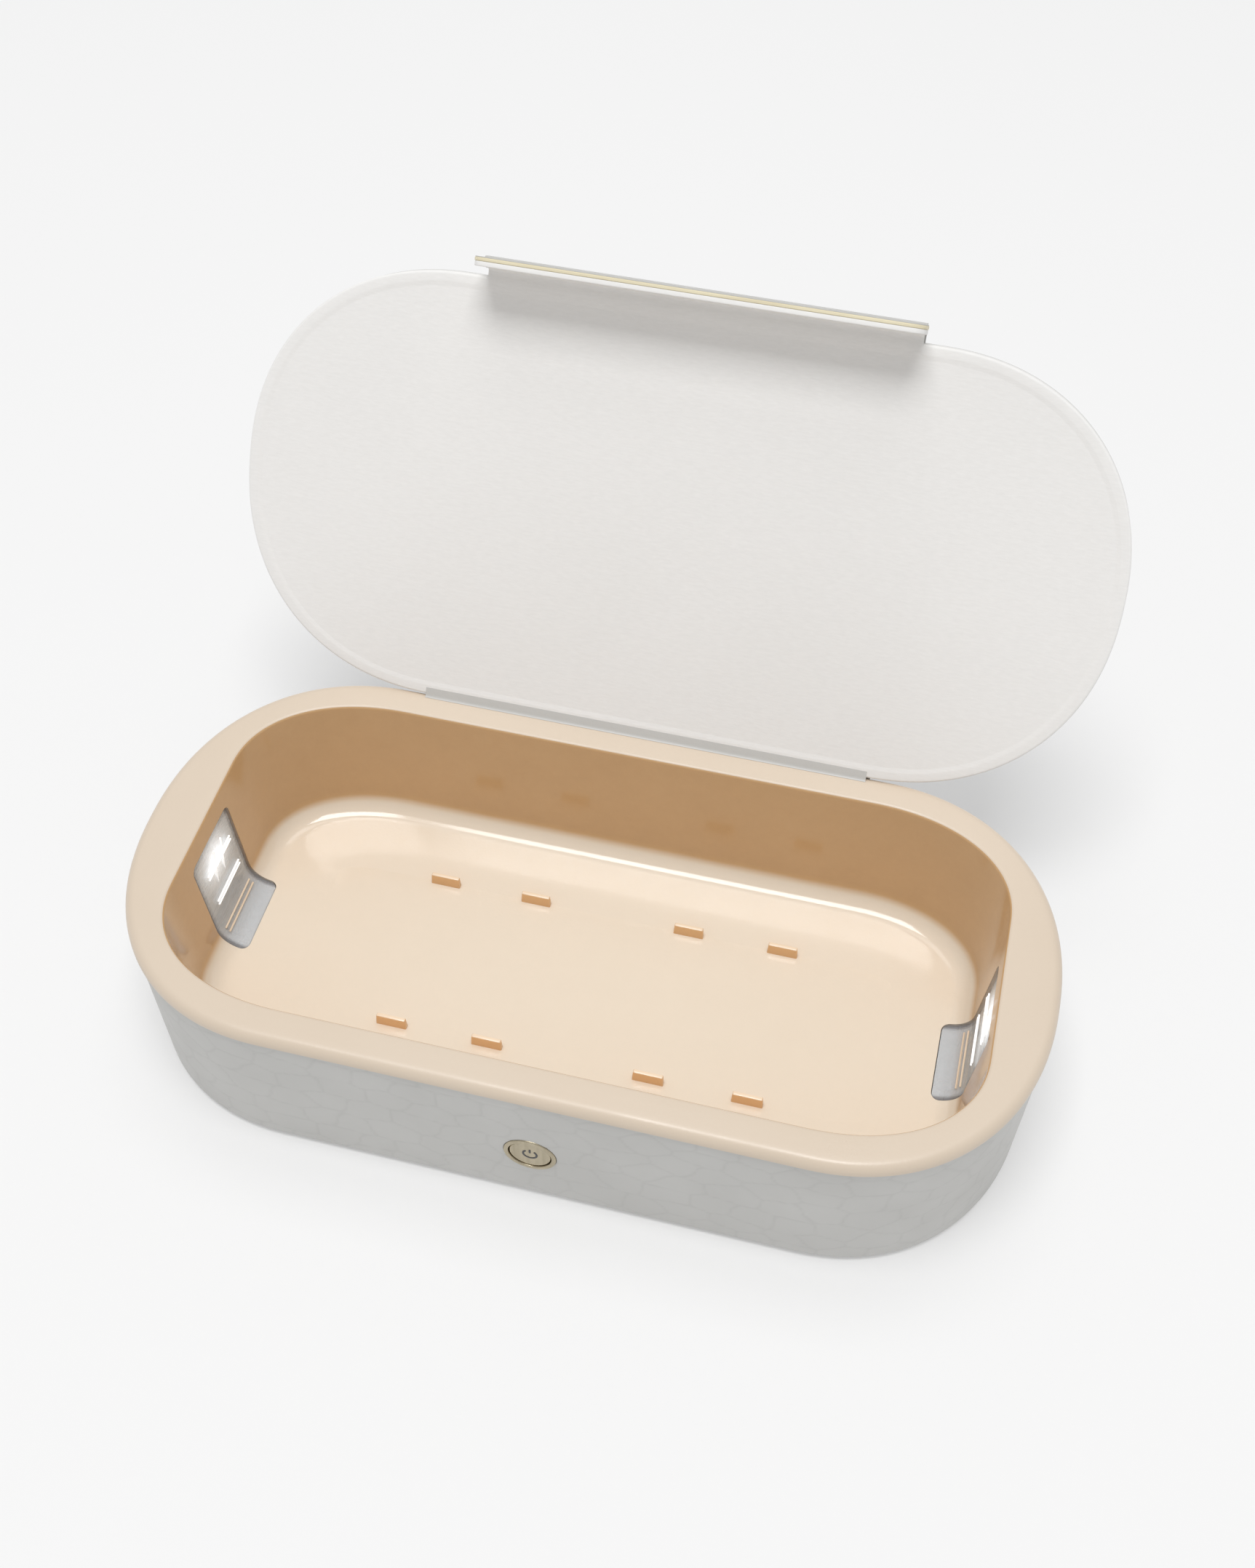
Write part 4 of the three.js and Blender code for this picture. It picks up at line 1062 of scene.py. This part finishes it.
def build_power_mark():
    """A plain power mark inlaid in the cap: a broken ring and a bar."""
    radius, half_stroke, gap_turn = 1.75, 0.27, math.radians(38)
    steps = 32
    arc = []
    for step in range(steps + 1):
        turn = math.pi / 2 + gap_turn + step / steps * (2 * math.pi - 2 * gap_turn)
        arc.append((math.cos(turn), math.sin(turn)))
    arc = np.array(arc)
    ring = np.concatenate([arc * (radius + half_stroke), arc[::-1] * (radius - half_stroke)])
    bar = rounded_rectangle(half_stroke, 0.85, half_stroke * 0.9, 4) + np.array([0, radius * 0.8])
    for name, points in (("power_ring", ring), ("power_bar", bar)):
        vertices, faces = prism(points, -0.25, 0.05)
        vertices = placed(vertices, FACING_FRONT, (0, BUTTON_FRONT + 0.2, BUTTON_HEIGHT))
        finish_piece(make_object(name, vertices, faces), "button", "black_plastic")


# ---- lid ----

def build_lid_cover():
    """The leather outside of the lid, embossed like the wrap."""
    cover_low = LID_THICKNESS - LID_COVER
    edge = filleted([(1.4, cover_low, 0), (0, cover_low, 0.1), (0, LID_THICKNESS, 0.65),
                     (2, LID_THICKNESS, 0)])
    rings = [(lid_outline(inset), z) for inset, z in edge]
    flat_insets = np.arange(3, 56, 1.0)
    rings += [(lid_outline(inset), LID_THICKNESS) for inset in flat_insets]
    vertices, faces = loft(rings)
    pattern_start = -200
    along = (vertices[:, 0] - pattern_start) / SCALE_LENGTH
    depths = scale_creases(along, -vertices[:, 1] / SCALE_HEIGHT, LID_COLUMNS)
    depths[vertices[:, 2] < LID_THICKNESS - 0.01] = 0
    vertices[:, 2] -= CREASE_DEPTH * depths
    piece = make_object("lid_cover", on_lid(vertices), faces)
    add_crease(piece, depths)
    finish_piece(piece, "lid", "leather", "lid_leather")


def build_lid_lining():
    """The lining, turned up over the lid's edge, with a margin that stands a little proud."""
    proud = -0.16
    wall = 0.06
    wall_top = LID_THICKNESS - LID_COVER - 0.05
    section = filleted([
        (20, 0, 0),
        (LID_MARGIN, 0, 2.5),
        (LID_MARGIN - 1.2, proud, 2.5),
        (wall, proud, 0.7),
        (wall, wall_top, 0.1),
        (LINING_THICKNESS, wall_top, 0),
        (LINING_THICKNESS, LINING_THICKNESS, 0),
        (20, LINING_THICKNESS, 0),
    ], 5)
    vertices, faces = loft([(lid_outline(inset), z) for inset, z in reversed(section)])
    piece = make_object("lid_inside", on_lid(vertices), turned_over(faces))
    finish_piece(piece, "lid", "lining", "lid_lining")


# ---- leather across the two folds ----

def smooth_path(points, rounds=3):
    """Corner-cutting that turns a few points into a smooth curve with the same ends."""
    path = [np.array(point, float) for point in points]
    for _ in range(rounds):
        cut = [path[0]]
        for before, after in zip(path, path[1:]):
            cut += [0.75 * before + 0.25 * after, 0.25 * before + 0.75 * after]
        path = cut + [path[-1]]
    return path


def strip_section(path, thickness):
    """Closed section of a strip that follows a path of (y, z), thinned at both ends."""
    end_share, share_a_step = 0.35, 0.2
    sides = ([], [])
    count = len(path)
    for index, point in enumerate(path):
        run = path[min(index + 1, count - 1)] - path[max(index - 1, 0)]
        across = np.array([-run[1], run[0]]) / np.linalg.norm(run)
        from_end = min(index, count - 1 - index)
        half = thickness / 2 * min(1, end_share + share_a_step * from_end)
        sides[0].append(point + across * half)
        sides[1].append(point - across * half)
    return sides[0] + sides[1][::-1]


def fold_strip(name, path, thickness, half_length, slot):
    """A strip that crosses a fold between two bodies, made in the shape that it rests in."""
    section = strip_section(smooth_path(path), thickness)
    vertices, faces = swept_strip(section, half_length, 60)
    piece = make_object(name, vertices, turned_over(faces))
    piece.data.materials.append(MATERIALS[slot])
    if slot == "leather":
        add_no_crease(piece)
    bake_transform(piece)
    return piece


def lid_point(y, z):
    """(y, z) where a point of the closed lid's section rests."""
    return on_lid([(0, y, z)])[0][1:]


def flap_point(y, z):
    """(y, z) where a point of the flat flap's section rests."""
    return on_flap([(0, y, z)])[0][1:]


def build_hinge_strips():
    """Leather from the back wall onto the lid's outside, and a thin band of lining inside the fold, given the grey
    leather finish as painted shade.
    """
    wall = BODY_HALF_WIDTH
    top = LID_THICKNESS
    outer = [(wall - 0.3, 35), (wall - 0.2, 45.5), (wall + 0.35, 47.8), (wall + 0.8, 48.8),
             lid_point(-0.6, top + 0.3), lid_point(-3, top + 0.2), lid_point(-8, top + 0.12)]
    hinge = fold_strip("hinge_leather", outer, 0.6, HINGE_HALF_LENGTH,
                       "leather")
    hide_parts("hinge_strip")
    bend_start, bend_end = (56.6, 51.15), (57.15, 51.8)
    inner = [(56.3, 51.04), bend_start, (56.9, 51.4), bend_end, lid_point(-1.2, -0.14),
             lid_point(-2.4, -0.1)]
    # The lining band takes the grey leather finish as painted shade in the fold.
    fold_strip("hinge_lining_painted_shade", inner, 0.16, HINGE_HALF_LENGTH - 1,
               "leather")


def build_crease_strips():
    """Leather from the lid's outside onto the flap's, and the lining inside that fold."""
    far, top, flap_top = LID_FAR_EDGE, LID_THICKNESS, FLAP_THICKNESS
    outer = [lid_point(far + 7, top + 0.12), lid_point(far + 1, top + 0.2),
             lid_point(far - 1.6, top - 0.1), lid_point(far - 3.6, top - 1.4),
             flap_point(-0.2, flap_top + 0.2), flap_point(-2, flap_top + 0.2),
             flap_point(-5, flap_top + 0.1)]
    fold_strip("crease_leather", outer, 0.5, FLAP_HALF_LENGTH - 0.5,
               "leather")
    inner = [lid_point(far + 2.5, -0.1), lid_point(far + 0.6, -0.12), lid_point(far - 0.9, 0.4),
             flap_point(-1.2, -0.08), flap_point(-4, -0.1)]
    fold_strip("crease_lining", inner, 0.18, FLAP_HALF_LENGTH - 0.8,
               "lining")


# ---- flap ----

def flap_rings(profile):
    half_depth = (FLAP_DEPTH - FLAP_NEAR) / 2
    rings = []
    for inset, z in profile:
        points = rounded_rectangle(FLAP_HALF_LENGTH - inset, half_depth - inset, FLAP_CORNER - inset)
        rings.append((points - np.array([0, FLAP_NEAR + half_depth]), z))
    return rings


def flap_layer(name, low, high, inset, radius, slot, node, material=None):
    """One layer of the flap between two heights, its edges rounded."""
    section = filleted([(3.5, low, 0), (inset, low, radius), (inset, high, radius), (3.5, high, 0)], 4)
    vertices, faces = loft(flap_rings(section))
    piece = make_object(name, on_flap(vertices), faces)
    if slot == "leather":
        add_no_crease(piece)
    finish_piece(piece, "flap", slot, node, material=material)


def build_flap():
    cover_low = FLAP_THICKNESS - FLAP_COVER
    painted_low = FLAP_THICKNESS - FLAP_COVER - FLAP_EDGE
    flap_layer("flap_cover", cover_low, FLAP_THICKNESS, 0.1, 0.1, "leather", "flap_leather")
    flap_layer("flap_edge", painted_low, cover_low, 0, 0.15, "fibreboard", "flap_board", EDGE_PAINT)
    flap_layer("flap_inside", 0, painted_low, 0.1, 0.25, "lining", "flap_lining")


# ---- stage ----

def build_floor():
    shader = Shader("pale_floor").set(Roughness=0.9, Specular_IOR_Level=0.1,
                                      Emission_Color=(1, 1, 1, 1), Emission_Strength=FLOOR_LIFT)
    pale = shader.colours(shader.noise(3, 2), (0.66, 0.66, 0.66), (0.65, 0.65, 0.65))
    shader.link(pale, "Base Color")
    far = FLOOR_HALF_SIZE
    corners = [(-far, -far, 0), (far, -far, 0), (far, far, 0), (-far, far, 0)]
    floor = make_object("floor", corners, [(0, 1, 2, 3)])
    floor.data.materials.append(shader.material)


def build_softbox(name, place, size, power):
    data = bpy.data.lights.new(name, "AREA")
    data.shape = "RECTANGLE"
    data.size, data.size_y = size
    data.energy = power
    softbox = add_object(name, data)
    softbox.location = place
    softbox.rotation_mode = "QUATERNION"
    softbox.rotation_quaternion = Vector(place).to_track_quat("Z", "Y")


def build_light():
    world = bpy.data.worlds.new("studio")
    world.use_nodes = True
    background = world.node_tree.nodes["Background"]
    background.inputs["Color"].default_value = (1, 1, 1, 1)
    background.inputs["Strength"].default_value = WORLD_LIGHT
    bpy.context.scene.world = world
    for name, settings in SOFTBOXES.items():
        build_softbox(name, **settings)


def build_camera():
    azimuth = math.radians(CAMERA_AZIMUTH)
    elevation = math.radians(CAMERA_ELEVATION)
    back = Vector((math.sin(azimuth) * math.cos(elevation), -math.cos(azimuth) * math.cos(elevation),
                   math.sin(elevation)))
    data = bpy.data.cameras.new("camera")
    data.lens = CAMERA_LENS
    data.clip_start, data.clip_end = 0.01, 100
    camera = add_object("camera", data)
    camera.location = (Vector(CAMERA_AIM) + back * CAMERA_DISTANCE) * MM
    camera.rotation_mode = "QUATERNION"
    roll = Matrix.Rotation(math.radians(CAMERA_ROLL), 3, "Z").to_quaternion()
    camera.rotation_quaternion = (-back).to_track_quat("-Z", "Y") @ roll
    bpy.context.scene.camera = camera


build_camera()
dress_cad_nodes()
build_tray()
build_windows()
build_wrap()
build_bezel()
build_cap()
build_power_mark()
build_lid_cover()
build_lid_lining()
build_flap()
build_hinge_strips()
build_crease_strips()
build_floor()
build_light()
bpy.context.scene.view_settings.view_transform = "Standard"
